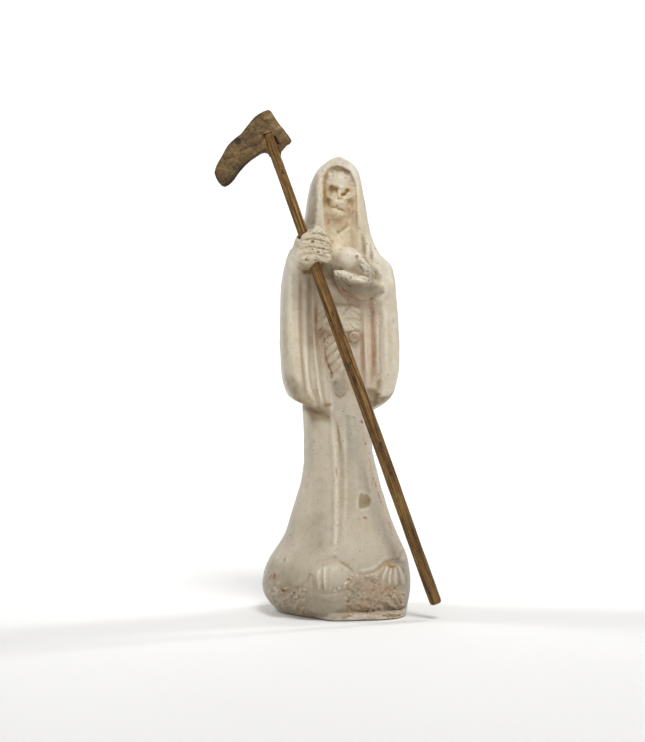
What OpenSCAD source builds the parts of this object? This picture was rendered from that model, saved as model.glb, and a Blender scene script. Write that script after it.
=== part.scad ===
// Hooded skeleton figure in a long robe, holding a globe and a wooden scythe.
// Moulded shells are pasted over a stick armature and closed by a base plinth.
// Frame: +Z up, the front faces -Y, the origin is the middle of the base.

/* [Figure] */
// Height of the figure from the floor to the tip of the hood
figure_h = 200; // [180:1:220]
// Wall of the two moulded robe shells
wall = 3; // [2:0.5:4]
// Depth of the folds in the robe
fold = 0.7; // [0:0.1:1]
// Height of the plinth that closes the base
plinth_h = 3; // [2:0.5:4]
// Height of the weight that is cast inside the base
ballast_h = 13; // [8:1:18]
// Diameter of the armature stick
post_d = 6; // [5:0.5:7]

/* [Head] */
// Radius of the cranium
cranium_r = 7; // [6.5:0.1:7.5]
// Radius of each eye socket
eye_r = 2; // [1.5:0.1:2.4]

/* [Hands] */
// Diameter of the globe
globe_d = 9.8; // [9:0.2:10.4]
// Radius of a finger
finger_r = 2; // [1.8:0.1:2.2]

/* [Belt] */
// Height of the belt band
belt_h = 10; // [8:0.5:11]
// Radius of each strand of the hanging cord
strand_r = 1.7; // [1.4:0.1:1.9]
// Radius of the tassel
tassel_r = 3.2; // [2.8:0.1:3.6]

/* [Scythe] */
// Lean of the pole from the vertical, in degrees
lean = 20; // [18:0.5:21]
// Length of the pole
pole_l = 211; // [200:1:212]
// Diameter of the pole at its lower end
pole_d = 5.8; // [5.4:0.1:6]
// Diameter of the pole in the blade's socket
tip_d = 4.4; // [4:0.1:4.6]
// Radial room around the pole in the fist
fist_gap = 0.2; // [0.1:0.05:0.4]
// Radial room around the pole's tip in the socket
socket_gap = 0.05; // [0.05:0.01:0.1]
// Thickness of the blade at its socket
blade_t = 6; // [5.5:0.1:6.5]

/* [Hidden] */
k = figure_h / 200;          // everything is drawn at 200 mm and scaled once
chalk = "#ece6dc";
wood = "#86663f";

// ---- lofts --------------------------------------------------------------
// A section is [z, centre x, half width, front depth, back depth].
robe = [[3, 1.5, 28.5, 22, 22], [6, 0.5, 31, 24.5, 24.5], [12, 0, 32, 26, 25.5],
        [17, 0, 31.5, 25.5, 25], [22, 0.5, 30, 24, 23.5], [29, 1.5, 27, 21.5, 21.5],
        [36, 1.8, 23.8, 19.5, 19.5], [43, 1.5, 21.5, 18, 18], [50, 1.4, 19.5, 17, 16.5],
        [57, 1.4, 17.3, 16, 15.5], [64, 1, 15.8, 15.5, 14.5], [71, 0, 14.6, 15, 14],
        [82, 0, 14.3, 15, 14], [100, 0, 14, 15, 14], [118, 0, 14, 15.5, 14],
        [132, -0.5, 14, 15.5, 14], [145, -1, 15, 14.5, 14], [153, -1, 15.5, 13.5, 13.5],
        [160, -1, 14, 12, 12.5], [165, -1, 10, 10, 11], [168, -1, 6.5, 8, 8]];
hood_s = [[149, -0.6, 22.4, 13, 15.5], [153, -0.8, 21.6, 13.5, 15.5], [157, -1.5, 19.9, 14, 15.5],
        [161, -1.8, 18, 14.5, 15.2], [165, -1.6, 16.4, 15, 15], [169, -0.9, 14.6, 15.8, 14.8],
        [174, -0.6, 13.5, 16.5, 14.5], [179, -1, 12.7, 17, 14], [184, -1.1, 11.5, 17.2, 13.4],
        [188, -1.1, 10.9, 17, 12.5], [192, -0.7, 9.8, 16, 11], [195, -0.7, 8.2, 13.5, 9],
        [197.5, -0.7, 5.8, 10.5, 6.5], [199.3, -0.6, 3.4, 7, 3.5], [200.2, -0.6, 1.2, 4, 0.5]];
sleeve_rs = [[84, -17, 8, 17.5, 12], [92, -17.2, 8.2, 18, 12.5], [100, -17.3, 8.2, 18, 13],
        [112, -17.2, 8.4, 18, 13], [126, -17, 8.4, 17.5, 13], [136, -16.6, 8.4, 17, 13],
        [143, -16, 8.4, 16.5, 13], [149, -15, 7.6, 16, 12], [155, -13, 7, 14.5, 10.5],
        [160, -11.5, 6, 12, 9], [164, -10.5, 4.5, 9, 8]];
sleeve_ls = [[86, 18.6, 6.6, 15.5, 12], [94, 18.4, 7.2, 16.5, 12.5], [102, 18, 7.8, 17, 13],
        [114, 17.8, 8.4, 17, 13], [126, 17.6, 8, 16.5, 13], [136, 17, 8, 16.5, 13],
        [143, 16.2, 8, 17, 13], [149, 14.6, 7.2, 14, 12], [155, 11.8, 6.6, 12, 10.5],
        [160, 9.8, 6, 10, 9], [164, 8.8, 4.5, 8, 8]];

function spow(v, e) = sign(v) * pow(abs(v), e);
// One ring of a loft: a soft rectangle, g shrinks it, w waves its outline
function ring(s, n, e, g, w, m) = [for (i = [0:n - 1])
    let (t = 360 * i / n, c = cos(t), q = sin(t),
         r = w * cos(m * t + 40 * sin(2 * t)) * (0.6 + 0.4 * q * q))
    [s[1] + (s[2] - g + r) * spow(c, e), (q < 0 ? s[3] - g + r : s[4] - g + r) * spow(q, e), s[0]]];
function between(a, b, t) = [for (i = [0:4]) a[i] + (b[i] - a[i]) * t];
function fine(s, f) = [for (i = [0:len(s) - 2], j = [0:f - 1]) between(s[i], s[i + 1], j / f), s[len(s) - 1]];
module loft(s, n = 56, e = 0.86, g = 0, w = 0, m = 9) {
    r = len(s);
    pts = [for (a = s) each ring(a, n, e, g, w, m)];
    polyhedron(pts, concat(
        [[for (i = [0:n - 1]) i]],
        [for (j = [0:r - 2], i = [0:n - 1]) let (a = j * n + i, b = j * n + (i + 1) % n)
            each [[a, a + n, b], [b, a + n, b + n]]],
        [[for (i = [n - 1:-1:0]) (r - 1) * n + i]]));
}
module ball(p, r) { translate(p) sphere(r, $fn = 16); }
module bar(p, q, r1, r2) { hull() { ball(p, r1); ball(q, r2); } }
module egg(p, r) { translate(p) scale(r) sphere(1, $fn = 24); }

// ---- whole shapes, before they are cut to one another --------------------
module robe_solid() { loft(robe, w = fold); }
module robe_hollow() {
    intersection() {
        loft([for (s = robe) [s[0], s[1], s[2] - wall, s[3] - wall, s[4] - wall]]);
        translate([-60, -60, 0]) cube([120, 120, 162]);
    }
}
module hood_solid() { loft(hood_s, n = 48); }
module face_gap() {
    hull() {
        egg([-1.2, -12, 187], [7.2, 10, 7]);
        egg([-1.2, -14, 172], [7, 9, 8]);
        egg([-0.8, -17, 157], [8.6, 6, 6]);
        egg([-1.2, -26, 180], [7, 4, 13]);
    }
}
module skull_solid() {
    difference() {
        union() {
            egg([-1.2, -6.4, 183.6], [cranium_r, 8, 8]);
            hull() {
                egg([-1.2, -9.5, 180.5], [6, 5.5, 4]);
                egg([-1.2, -10, 174], [4.4, 5, 3.4]);
            }
            hull() { ball([-5, -11.4, 179.6], 2); ball([2.6, -11.4, 179.6], 2); }
            translate([-1.2, -5, 167.5]) cylinder(h = 8, r = 5, $fn = 32);
        }
        egg([-4, -14.6, 183.4], [eye_r, 2.4, eye_r]);
        egg([1.6, -14.6, 182.6], [eye_r, 2.4, eye_r]);
        egg([-1.2, -15.4, 179.4], [1, 1.8, 1.4]);
        for (x = [-3.4, -1.2, 1]) translate([x, -15.6, 175.2]) cube([0.5, 2.4, 2.6], center = true);
    }
}
module sleeve_right_solid() {
    difference() {
        union() {
            loft(sleeve_rs, n = 40, w = fold, m = 11);
            hull() { egg([-19, -14, 156], [5.2, 8, 7.4]); egg([-20.4, -20, 157.4], [2.2, 3, 6.4]); }
        }
        translate([-15, 0, 82.5]) rotate([0, 26, 0]) cube([60, 60, 12], center = true);
    }
}
module sleeve_left_solid() {
    difference() {
        union() {
            loft(sleeve_ls, n = 40, w = fold, m = 11);
            hull() { egg([18, -11, 143], [6, 7, 8]); egg([17, -17, 141], [4, 4.4, 5.6]); }
        }
        translate([20, 0, 82]) rotate([0, -22, 0]) cube([60, 60, 16], center = true);
    }
}
module pole_line() { translate([-16, -27, 156.7]) rotate([0, -lean, 0]) children(); }

// ---- robe, base and armature ----------------------------------------------
module shell(front) {
    difference() {
        resize([0, 0, 0]) difference() {
            intersection() {
                robe_solid();
                translate([-60, front ? -60 : 0, plinth_h]) cube([120, 60, 200]);
            }
            robe_hollow();
        }
        translate([-1, 0, 100]) cylinder(h = 100, d = post_d + 0.1, $fn = 48);
    }
}
module robe_front() { color(chalk) scale(k) shell(true); }
module robe_back() { color(chalk) scale(k) shell(false); }
module base_plinth() {
    color(chalk) scale(k) loft([[0, 2.2, 27.4, 22, 21.5], [0.8, 2.2, 28.4, 23.5, 22.5],
        [plinth_h - 0.6, 2, 28.6, 23.5, 22.5], [plinth_h, 1.8, 28.2, 22.5, 22]]);
}
module ballast() {
    color("#d8d0c4") scale(k) difference() {
        resize([0, 0, 0]) intersection() {
            robe_hollow();
            translate([-60, -60, plinth_h]) cube([120, 120, ballast_h]);
        }
        translate([-1, 0, 0]) cylinder(h = 60, d = post_d + 0.1, $fn = 48);
    }
}
module armature_post() {
    color(wood) scale(k) translate([-1, 0, plinth_h]) cylinder(h = 178 - plinth_h, d = post_d, $fn = 48);
}

// ---- head -------------------------------------------------------------------
module skull() {
    color(chalk) scale(k) difference() {
        resize([0, 0, 0]) difference() { skull_solid(); robe_solid(); }
        translate([-1, 0, 100]) cylinder(h = 78.1, d = post_d + 0.1, $fn = 48);
    }
}
module hood() {
    color(chalk) scale(k) difference() {
        resize([0, 0, 0]) difference() {
            hood_solid();
            robe_solid();
            face_gap();
            skull_solid();
            translate([-30, -40, 140]) cube([60, 60, 9.5]);
        }
        translate([-1, 0, 100]) cylinder(h = 78.1, d = post_d + 0.1, $fn = 48);
    }
}

// ---- sleeves, hands and globe ------------------------------------------------
module sleeve_right() {
    color(chalk) scale(k) resize([0, 0, 0]) difference() {
        sleeve_right_solid(); robe_solid(); hood_solid(); face_gap();
    }
}
module sleeve_left() {
    color(chalk) scale(k) resize([0, 0, 0]) difference() {
        sleeve_left_solid(); robe_solid(); hood_solid(); face_gap();
    }
}
module fist_solid() {
    hull() { egg([-13.6, -27, 156.6], [6.2, 5.6, 6]); egg([-17.8, -27, 159.4], [4.8, 5.2, 5]);
             egg([-14, -22, 157.6], [6.5, 4, 6.4]); egg([-12.6, -14, 157], [5.6, 4, 5.4]); }
    for (i = [0:3])
        bar([-19, -28, 162.4 - 3.4 * i], [-9.4 + 0.5 * i, -28.4, 161.9 - 3.4 * i], finger_r + 0.2, finger_r);
    bar([-18.5, -26.5, 163], [-10.5, -26, 163.4], 1.8, 1.6);
}
module hand_right() {
    color(chalk) scale(k) difference() {
        resize([0, 0, 0]) difference() {
            fist_solid();
            sleeve_right_solid(); robe_solid(); hood_solid();
        }
        pole_line() cylinder(h = 60, r = pole_d / 2 + fist_gap, center = true, $fn = 48);
    }
}
module hand_left() {
    color(chalk) scale(k) difference() {
        resize([0, 0, 0]) difference() {
            union() {
                hull() { egg([-1.6, -24, 144.4], [3.2, 3.4, 3.8]); egg([8, -24, 142.4], [4.4, 4.4, 4.6]);
                         egg([0, -16, 144], [3.6, 4, 4]); egg([14, -19, 141.4], [4.6, 5, 5]); }
                for (i = [0:3]) bar([-2.6 + 1.7 * i, -27, 146.8 - 0.5 * i], [1.4 + 1.9 * i, -26.6, 139.6 + 0.5 * i], 1.5, 1.3);
                bar([11.4, -23.5, 147], [6.6, -24, 154], 2.6, 1.8);
            }
            sleeve_left_solid(); robe_solid();
        }
        translate([2, -24, 152.2]) sphere(d = globe_d + 0.04, $fn = 48);
    }
}
module globe() { color(chalk) scale(k) translate([2, -24, 152.2]) sphere(d = globe_d, $fn = 48); }

// ---- belt and cord -------------------------------------------------------------
module belt_solid() {
    intersection() {
        loft([[129 - belt_h / 2, -0.5, 15.5, 17, 14], [130 - belt_h / 2, -0.5, 16, 18.5, 14],
              [128 + belt_h / 2, -0.5, 16, 18.5, 14], [129 + belt_h / 2, -0.5, 15.5, 17, 14]], n = 48);
        translate([-13, -30, 110]) cube([26, 30, 40]);
    }
}
module belt() {
    color(chalk) scale(k) resize([0, 0, 0]) difference() {
        belt_solid(); robe_solid(); sleeve_right_solid(); sleeve_left_solid();
    }
}
// The cord's middle line, from the knot down to the tassel
function cord_p(t) = [-4.2 + 3.4 * t, -17.6 + 0.4 * sin(180 * t), 124 - 21.5 * t];
module strand(a) {
    n = 10; r = 26;
    pts = [for (j = [0:r], i = [0:n - 1])
        let (t = 1 - j / r, u = a + 540 * t, c = cord_p(t), b = 360 * i / n)
        [c[0] + 1.2 * cos(u) + strand_r * cos(b), c[1] + 0.7 * sin(u) + strand_r * sin(b), c[2]]];
    polyhedron(pts, concat([[for (i = [0:n - 1]) i]],
        [for (j = [0:r - 1], i = [0:n - 1]) let (p = j * n + i, q = j * n + (i + 1) % n)
            each [[p, p + n, q], [q, p + n, q + n]]],
        [[for (i = [n - 1:-1:0]) r * n + i]]));
}
module tassel_solid() {
    hull() { egg([-0.9, -17.4, 101.5], [2.2, 2.2, 2.4]); egg([-1.2, -17.2, 96.8], [tassel_r, 2.8, 3.2]); }
}
module cord_solid() { strand(0); strand(180); }
module belt_cord() {
    color(chalk) scale(k) resize([0, 0, 0]) difference() {
        cord_solid(); robe_solid(); belt_solid(); tassel_solid(); knot_core();
    }
}
module cord_tassel() {
    color(chalk) scale(k) resize([0, 0, 0]) difference() { tassel_solid(); robe_solid(); }
}
module knot_core() { egg([2.4, -17.6, 120.6], [2.6, 2.2, 2.6]); }
module cord_knot() {
    color(chalk) scale(k) resize([0, 0, 0]) difference() {
        knot_core(); robe_solid(); belt_solid();
        translate([2.4, -20.4, 120.6]) rotate([90, 0, 0]) cylinder(h = 4, r = 0.8, center = true, $fn = 24);
    }
}

// ---- relief on the hem ----------------------------------------------------------
module mound_centre_solid() {
    difference() {
        union() { egg([-6.2, -23.5, 18.4], [7.6, 6, 6.6]); egg([-5.8, -24, 9], [8.4, 5.4, 5.6]); }
        for (x = [-10.6, -7.8]) bar([x, -30, 13], [x + 0.6, -29.4, 23], 0.5, 0.4);
    }
}
module mound_right_solid() {
    union() { egg([19.4, -18.5, 18.4], [7.6, 6, 7.4]); egg([19.2, -18, 8], [8, 6.5, 4.6]); }
}
module mound_left_solid() {
    union() { egg([-22.6, -17, 15], [8, 6.5, 6.5]); egg([-16, -21, 8], [7, 5.5, 4.6]); egg([-27, -12, 9], [5, 7, 5]); }
}
module above_plinth() { translate([-60, -60, plinth_h]) cube([120, 120, 60]); }
module hem_mound_centre() {
    color(chalk) scale(k) resize([0, 0, 0]) intersection() {
        difference() { mound_centre_solid(); robe_solid(); } above_plinth();
    }
}
module hem_mound_right() {
    color(chalk) scale(k) resize([0, 0, 0]) intersection() {
        difference() { mound_right_solid(); robe_solid(); } above_plinth();
    }
}
module hem_mound_left() {
    color(chalk) scale(k) resize([0, 0, 0]) intersection() {
        difference() { mound_left_solid(); robe_solid(); mound_centre_solid(); } above_plinth();
    }
}

// ---- scythe ----------------------------------------------------------------------
// Along the pole, measured from the middle of the fist
pole_top = 51.2;
module scythe_pole() {
    low = pole_top - pole_l;
    color(wood) scale(k) pole_line() {
        rotate_extrude($fn = 48) polygon([[0, low], [pole_d / 2 - 0.8, low], [pole_d / 2 - 0.2, low + 0.4],
            [pole_d / 2, low + 1.4], [pole_d / 2, low + 60], [pole_d / 2 - 0.15, low + 120],
            [tip_d / 2 + 0.1, pole_top - 14], [tip_d / 2, pole_top - 12], [tip_d / 2, pole_top - 0.4],
            [tip_d / 2 - 0.4, pole_top], [0, pole_top]]);
    }
}
// Outline of the blade: first along its reach, then along the pole from its tip
blade_edge = [[-2.5, 10], [-7, -4.5], [-6.5, -6], [-4, -7], [-1.5, -9], [3.5, -9], [5, -6.5], [8, -7],
              [12, -8], [16, -10], [19, -12], [22, -14], [25, -14.5], [27, -13], [28, -9], [27, -6],
              [22, -1], [16, 3], [10, 5.5], [4, 9], [1, 10]];
module scythe_blade() {
    back = blade_t - 1.8;
    color("#7d6a50") scale(k) pole_line() translate([0, 0, pole_top]) difference() {
        rotate([90, 0, 0]) translate([0, 0, -back]) linear_extrude(blade_t)
            mirror([1, 0, 0]) polygon(blade_edge);
        // both faces draw in towards the point
        translate([-8, -1.8, 0]) rotate([0, 0, -4.5]) translate([-40, -10, -30]) cube([40, 10, 60]);
        translate([-8, back, 0]) rotate([0, 0, 3]) translate([-40, 0, -30]) cube([40, 10, 60]);
        translate([0, 0, -20]) cylinder(h = 20.3, d = tip_d + 2 * socket_gap, $fn = 48);
    }
}

robe_front();
robe_back();
hood();
skull();
sleeve_right();
sleeve_left();
hand_right();
hand_left();
globe();
belt();
belt_cord();
cord_knot();
cord_tassel();
hem_mound_centre();
hem_mound_right();
hem_mound_left();
base_plinth();
ballast();
armature_post();
scythe_pole();
scythe_blade();
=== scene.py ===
"""Looks of the hooded skeleton figure: chalk-coated moulded pieces and a whittled wooden scythe.

The chalk pieces are sculpted as one distance field, so that the coat runs on
over the joints, and each node's piece is the part of it that the node owns.
The front relief is drawn on a plane that faces the viewer: its units are
0.442 mm, x runs to the right and y runs down.
"""
import math

import bpy
import numpy as np
import openvdb as vdb
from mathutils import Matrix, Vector


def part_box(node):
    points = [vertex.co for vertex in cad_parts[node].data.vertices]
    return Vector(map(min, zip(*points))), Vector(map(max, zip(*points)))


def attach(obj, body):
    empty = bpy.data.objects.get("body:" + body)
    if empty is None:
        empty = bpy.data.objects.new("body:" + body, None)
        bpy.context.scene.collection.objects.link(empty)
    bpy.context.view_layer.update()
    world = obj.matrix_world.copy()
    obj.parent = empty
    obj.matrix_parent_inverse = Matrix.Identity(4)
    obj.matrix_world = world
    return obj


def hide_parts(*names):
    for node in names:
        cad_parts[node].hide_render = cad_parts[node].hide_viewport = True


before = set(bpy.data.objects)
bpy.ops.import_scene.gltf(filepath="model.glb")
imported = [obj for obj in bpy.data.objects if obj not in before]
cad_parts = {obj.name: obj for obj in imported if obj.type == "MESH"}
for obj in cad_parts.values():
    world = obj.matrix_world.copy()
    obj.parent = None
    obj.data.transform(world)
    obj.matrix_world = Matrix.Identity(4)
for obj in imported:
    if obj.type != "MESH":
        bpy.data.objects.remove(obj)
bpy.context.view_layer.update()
F = np.float32
COARSE = 1.0

# ---------------------------------------------------------------- camera facts
AZ = math.radians(-8)
CA, SA = math.cos(AZ), math.sin(AZ)      # right vector is (CA, SA), forward is (-SA, CA)
DIST, EYE, SIDE, UNIT = 600.0, 105.6, -6.4, 0.442


def to_plane(x, y, z):
    """Where a point in mm lands on the front drawing."""
    k = UNIT * (DIST - SA * x + CA * y) / DIST
    return 322.5 + (CA * x + SA * y - SIDE) / k, 371.0 - (z - EYE) / k


def at(px, py, y):
    """The point in mm, at depth y, that lies at a place on the front drawing."""
    x = 0.0
    for _ in range(4):
        k = UNIT * (DIST - SA * x + CA * y) / DIST
        x = ((px - 322.5) * k + SIDE - SA * y) / CA
    return np.array([x, y, EYE + (371.0 - py) * k])


# ---------------------------------------------------------------- drawing maps
RES, PX0, PX1, PY0, PY1 = 3, 250, 450, 100, 632
NPX, NPY = (PX1 - PX0) * RES + 1, (PY1 - PY0) * RES + 1


def smooth_line(pts, n=5):
    p = np.array(pts, float)
    if len(p) < 3:
        return p
    q = np.vstack([2 * p[0] - p[1], p, 2 * p[-1] - p[-2]])
    out = []
    for i in range(1, len(q) - 2):
        for t in np.arange(n) / n:
            a, b, c, d = q[i - 1], q[i], q[i + 1], q[i + 2]
            out.append(0.5 * (2 * b + (c - a) * t + (2 * a - 5 * b + 4 * c - d) * t * t
                              + (3 * b - a - 3 * c + d) * t ** 3))
    out.append(p[-1])
    return np.array(out)


class Drawing:
    def __init__(self, fill=0.0):
        self.a = np.full((NPX, NPY), fill, F)
        self.gain = self.wide = 1.0

    def window(self, x0, x1, y0, y1):
        i0, i1 = max(0, int((x0 - PX0) * RES)), min(NPX, int((x1 - PX0) * RES) + 2)
        j0, j1 = max(0, int((y0 - PY0) * RES)), min(NPY, int((y1 - PY0) * RES) + 2)
        X = (PX0 + np.arange(i0, i1) / RES)[:, None]
        Y = (PY0 + np.arange(j0, j1) / RES)[None, :]
        return slice(i0, i1), slice(j0, j1), X, Y

    def line(self, pts, w, amt, ends=0.25, flat=0.0):
        """A soft stroke: amt at its middle line, gone at about twice w."""
        p = smooth_line(pts)
        w, amt = w * self.wide, amt * self.gain
        m = 2.6 * w + flat
        si, sj, X, Y = self.window(p[:, 0].min() - m, p[:, 0].max() + m, p[:, 1].min() - m, p[:, 1].max() + m)
        best = np.full((X.shape[0], Y.shape[1]), 99.0, F)
        tt = np.zeros_like(best)
        seg = np.hypot(*(p[1:] - p[:-1]).T)
        run = np.concatenate([[0], np.cumsum(seg)])
        total = max(run[-1], 1e-6)
        for k in range(len(p) - 1):
            a, b = p[k], p[k + 1]
            ti, tj, U, V = self.window(min(a[0], b[0]) - m, max(a[0], b[0]) + m, min(a[1], b[1]) - m, max(a[1], b[1]) + m)
            d = b - a
            t = np.clip(((U - a[0]) * d[0] + (V - a[1]) * d[1]) / max(d @ d, 1e-9), 0, 1)
            q = np.hypot(U - a[0] - t * d[0], V - a[1] - t * d[1])
            oi = slice(ti.start - si.start, ti.stop - si.start)
            oj = slice(tj.start - sj.start, tj.stop - sj.start)
            near = q < best[oi, oj]
            best[oi, oj] = np.where(near, q, best[oi, oj])
            tt[oi, oj] = np.where(near, (run[k] + t * seg[k]) / total, tt[oi, oj])
        g = np.exp(-(np.maximum(best - flat, 0) / w) ** 2)
        if ends > 0:
            g = g * np.clip(np.minimum(tt, 1 - tt) / ends, 0, 1) ** 0.6 if ends < 0.5 else g
        self.a[si, sj] += (amt * g).astype(F)

    def spot(self, x, y, rx, ry, amt, turn=0.0, hard=0.0):
        """A soft spot, or with hard near 1 a flat one with a steep edge."""
        amt = amt * self.gain
        m = 2.4 * max(rx, ry)
        si, sj, X, Y = self.window(x - m, x + m, y - m, y + m)
        c, s = math.cos(math.radians(turn)), math.sin(math.radians(turn))
        u, v = ((X - x) * c + (Y - y) * s) / rx, (-(X - x) * s + (Y - y) * c) / ry
        q = np.hypot(u, v)
        g = np.exp(-q * q) if hard <= 0 else 1 / (1 + np.exp(np.clip((q - 1) * 8 * hard, -30, 30)))
        self.a[si, sj] += (amt * g).astype(F)

    def pit(self, x, y, r, deep):
        """A round air hole with a faint raised lip."""
        deep = deep * 0.55
        si, sj, X, Y = self.window(x - 2 * r, x + 2 * r, y - 2 * r, y + 2 * r)
        q = np.hypot(X - x, Y - y) / r
        g = -deep * np.clip(1 - q ** 3, 0, 1) + 0.12 * deep * np.exp(-((q - 1.15) / 0.22) ** 2)
        self.a[si, sj] += g.astype(F)

    def area(self, pts, amt, soft=1.0):
        d = self.outline(pts)
        self.a += (amt / (1 + np.exp(np.clip(d / soft * 3, -30, 30)))).astype(F)

    def outline(self, pts):
        """Signed distance to a closed outline, in drawing units, negative inside."""
        p = np.array(pts, float)
        X = (PX0 + np.arange(NPX) / RES)[:, None]
        Y = (PY0 + np.arange(NPY) / RES)[None, :]
        lo, hi = p.min(0) - 14, p.max(0) + 14
        si, sj, X, Y = self.window(lo[0], hi[0], lo[1], hi[1])
        best = np.full((X.shape[0], Y.shape[1]), 1e9)
        inside = np.zeros(best.shape, bool)
        for k in range(len(p)):
            a, b = p[k], p[(k + 1) % len(p)]
            d = b - a
            t = np.clip(((X - a[0]) * d[0] + (Y - a[1]) * d[1]) / max(d @ d, 1e-9), 0, 1)
            best = np.minimum(best, np.hypot(X - a[0] - t * d[0], Y - a[1] - t * d[1]))
            if a[1] != b[1]:
                cross = ((a[1] > Y) != (b[1] > Y)) & (X < (b[0] - a[0]) * (Y - a[1]) / (b[1] - a[1]) + a[0])
                inside ^= cross
        out = np.full((NPX, NPY), 14.0, F)
        out[si, sj] = np.where(inside, -best, best)
        return out


def look_up(a, px, py):
    """Bilinear value of a drawing at plane coordinates."""
    u = np.clip((px - PX0) * RES, 0, NPX - 1.001)
    v = np.clip((py - PY0) * RES, 0, NPY - 1.001)
    i, j = u.astype(np.int32), v.astype(np.int32)
    fu, fv = (u - i).astype(F), (v - j).astype(F)
    b = a.ravel()
    k = i * NPY + j
    return (b[k] * (1 - fu) * (1 - fv) + b[k + NPY] * fu * (1 - fv) + b[k + 1] * (1 - fu) * fv + b[k + NPY + 1] * fu * fv)


# ---------------------------------------------------------------- field tools
class Grid:
    def __init__(self, lo, hi, h):
        self.lo, self.h = np.array(lo, float), h
        self.ax = [np.arange(lo[i], hi[i] + h, h).astype(F) for i in range(3)]

    @property
    def x(self):
        return self.ax[0][:, None, None]

    @property
    def y(self):
        return self.ax[1][None, :, None]

    @property
    def z(self):
        return self.ax[2][None, None, :]

    @property
    def shape(self):
        return tuple(len(a) for a in self.ax)

    def part(self, lo, hi):
        """The index ranges and the smaller grid inside a box, or None if it is elsewhere."""
        sl = []
        for a, l, u in zip(self.ax, lo, hi):
            i, j = int(np.searchsorted(a, l)), int(np.searchsorted(a, u))
            if j - i < 2:
                return None, None
            sl.append(slice(i, j))
        g = Grid.__new__(Grid)
        g.h = self.h
        g.ax = [a[s] for a, s in zip(self.ax, sl)]
        g.lo = np.array([a[0] for a in g.ax], float)
        return tuple(sl), g


FAR = F(12.0)


def within(g, lo, hi, fn, pad=5.0):
    """fn evaluated only near its own box, and far away elsewhere."""
    lo, hi = np.array(lo) - pad, np.array(hi) + pad
    sl, sub = g.part(lo, hi)
    if sub is None:
        return None
    out = np.full(g.shape, FAR, F)
    out[sl] = np.minimum(fn(sub), FAR)
    return out


def smin(a, b, k):
    if a is None:
        return b
    if b is None:
        return a
    h = np.clip(0.5 + 0.5 * (b - a) / F(k), 0, 1)
    return b + (a - b) * h - F(k) * h * (1 - h)


def smax(a, b, k):
    return -smin(-a, -b, k)


def hard_min(a, b):
    return b if a is None else a if b is None else np.minimum(a, b)


def egg(g, c, r, turn=None):
    x, y, z = g.x - F(c[0]), g.y - F(c[1]), g.z - F(c[2])
    if turn is not None:
        t = math.radians(turn)
        x, z = x * F(math.cos(t)) + z * F(math.sin(t)), -x * F(math.sin(t)) + z * F(math.cos(t))
    k0 = np.sqrt((x / r[0]) ** 2 + (y / r[1]) ** 2 + (z / r[2]) ** 2)
    k1 = np.sqrt((x / r[0] ** 2) ** 2 + (y / r[1] ** 2) ** 2 + (z / r[2] ** 2) ** 2)
    return (k0 * (k0 - 1) / np.maximum(k1, 1e-4)).astype(F)


def bar(g, a, b, ra, rb):
    a, b = np.array(a, float), np.array(b, float)
    d = b - a
    px, py, pz = g.x - F(a[0]), g.y - F(a[1]), g.z - F(a[2])
    t = np.clip((px * F(d[0]) + py * F(d[1]) + pz * F(d[2])) / F(d @ d), 0, 1)
    q = np.sqrt((px - t * F(d[0])) ** 2 + (py - t * F(d[1])) ** 2 + (pz - t * F(d[2])) ** 2)
    return (q - (F(ra) + t * F(rb - ra))).astype(F)


def chain(g, pts, radii, k=0.6):
    out = None
    for i in range(len(pts) - 1):
        out = smin(out, bar(g, pts[i], pts[i + 1], radii[i], radii[i + 1]), k)
    return out


class Loft:
    """A stack of soft rectangles: rows of z, left, right, front, back."""

    def __init__(self, rows, n=2.4, soft=1.6):
        r = np.array(rows, float)
        self.zz = np.arange(r[0, 0] - 12, r[-1, 0] + 12, 0.25)
        k = np.exp(-0.5 * (np.arange(-20, 21) * 0.25 / soft) ** 2)
        k /= k.sum()
        self.c = [np.convolve(np.pad(np.interp(self.zz, r[:, 0], r[:, i]), 20, mode="edge"), k, "valid") for i in range(1, 5)]
        self.n, self.z0, self.z1 = n, r[0, 0], r[-1, 0]

    def rows(self, z):
        return [np.interp(z, self.zz, c).astype(F) for c in self.c]

    def __call__(self, g, grow=0.0, ends=True, k=1.0):
        l, r, f, b = [v[None, None, :] for v in self.rows(g.ax[2])]
        cx, cy = (l + r) / 2, (f + b) / 2
        A, B = (r - l) / 2 + F(grow), (b - f) / 2 + F(grow)
        n = F(self.n)
        ax, by = np.abs(g.x - cx) / A, np.abs(g.y - cy) / B
        q = np.maximum((ax ** n + by ** n) ** (1 / n), 0.05)
        grad = np.sqrt((ax ** (n - 1) / A) ** 2 + (by ** (n - 1) / B) ** 2) * q ** (1 - n)
        d = ((q - 1) / np.maximum(grad, 1e-3)).astype(F)
        if ends:
            d = smax(d, g.z - F(self.z1), k)
            d = smax(d, F(self.z0) - g.z, k)
        return d


_lattice = {}


def noise(axes, cell, seed):
    """Smooth value noise on the grid of three axes, the same wherever it is asked for."""
    key = (cell, seed)
    lo = np.array([-72.0, -48.0, -8.0])
    size = [int(s / cell) + 6 for s in (144.0, 96.0, 236.0)]
    if key not in _lattice:
        _lattice[key] = np.random.default_rng(seed).uniform(-1, 1, size).astype(F)
    w = []
    for a, l, n in zip(axes, lo, size):
        t = (a - l) / cell + 1
        i = np.floor(t).astype(int)
        f = t - i
        m = np.zeros((len(a), n), F)
        b = [(1 - f) ** 3 / 6, (3 * f ** 3 - 6 * f * f + 4) / 6, (-3 * f ** 3 + 3 * f * f + 3 * f + 1) / 6, f ** 3 / 6]
        for k in range(4):
            m[np.arange(len(a)), np.clip(i - 1 + k, 0, n - 1)] += b[k]
        w.append(m)
    r = np.tensordot(w[0], _lattice[key], (1, 0))
    r = np.tensordot(w[1], r, (1, 1)).transpose(1, 0, 2)
    return np.tensordot(r, w[2], (2, 1)).astype(F) * F(2.2)


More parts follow.
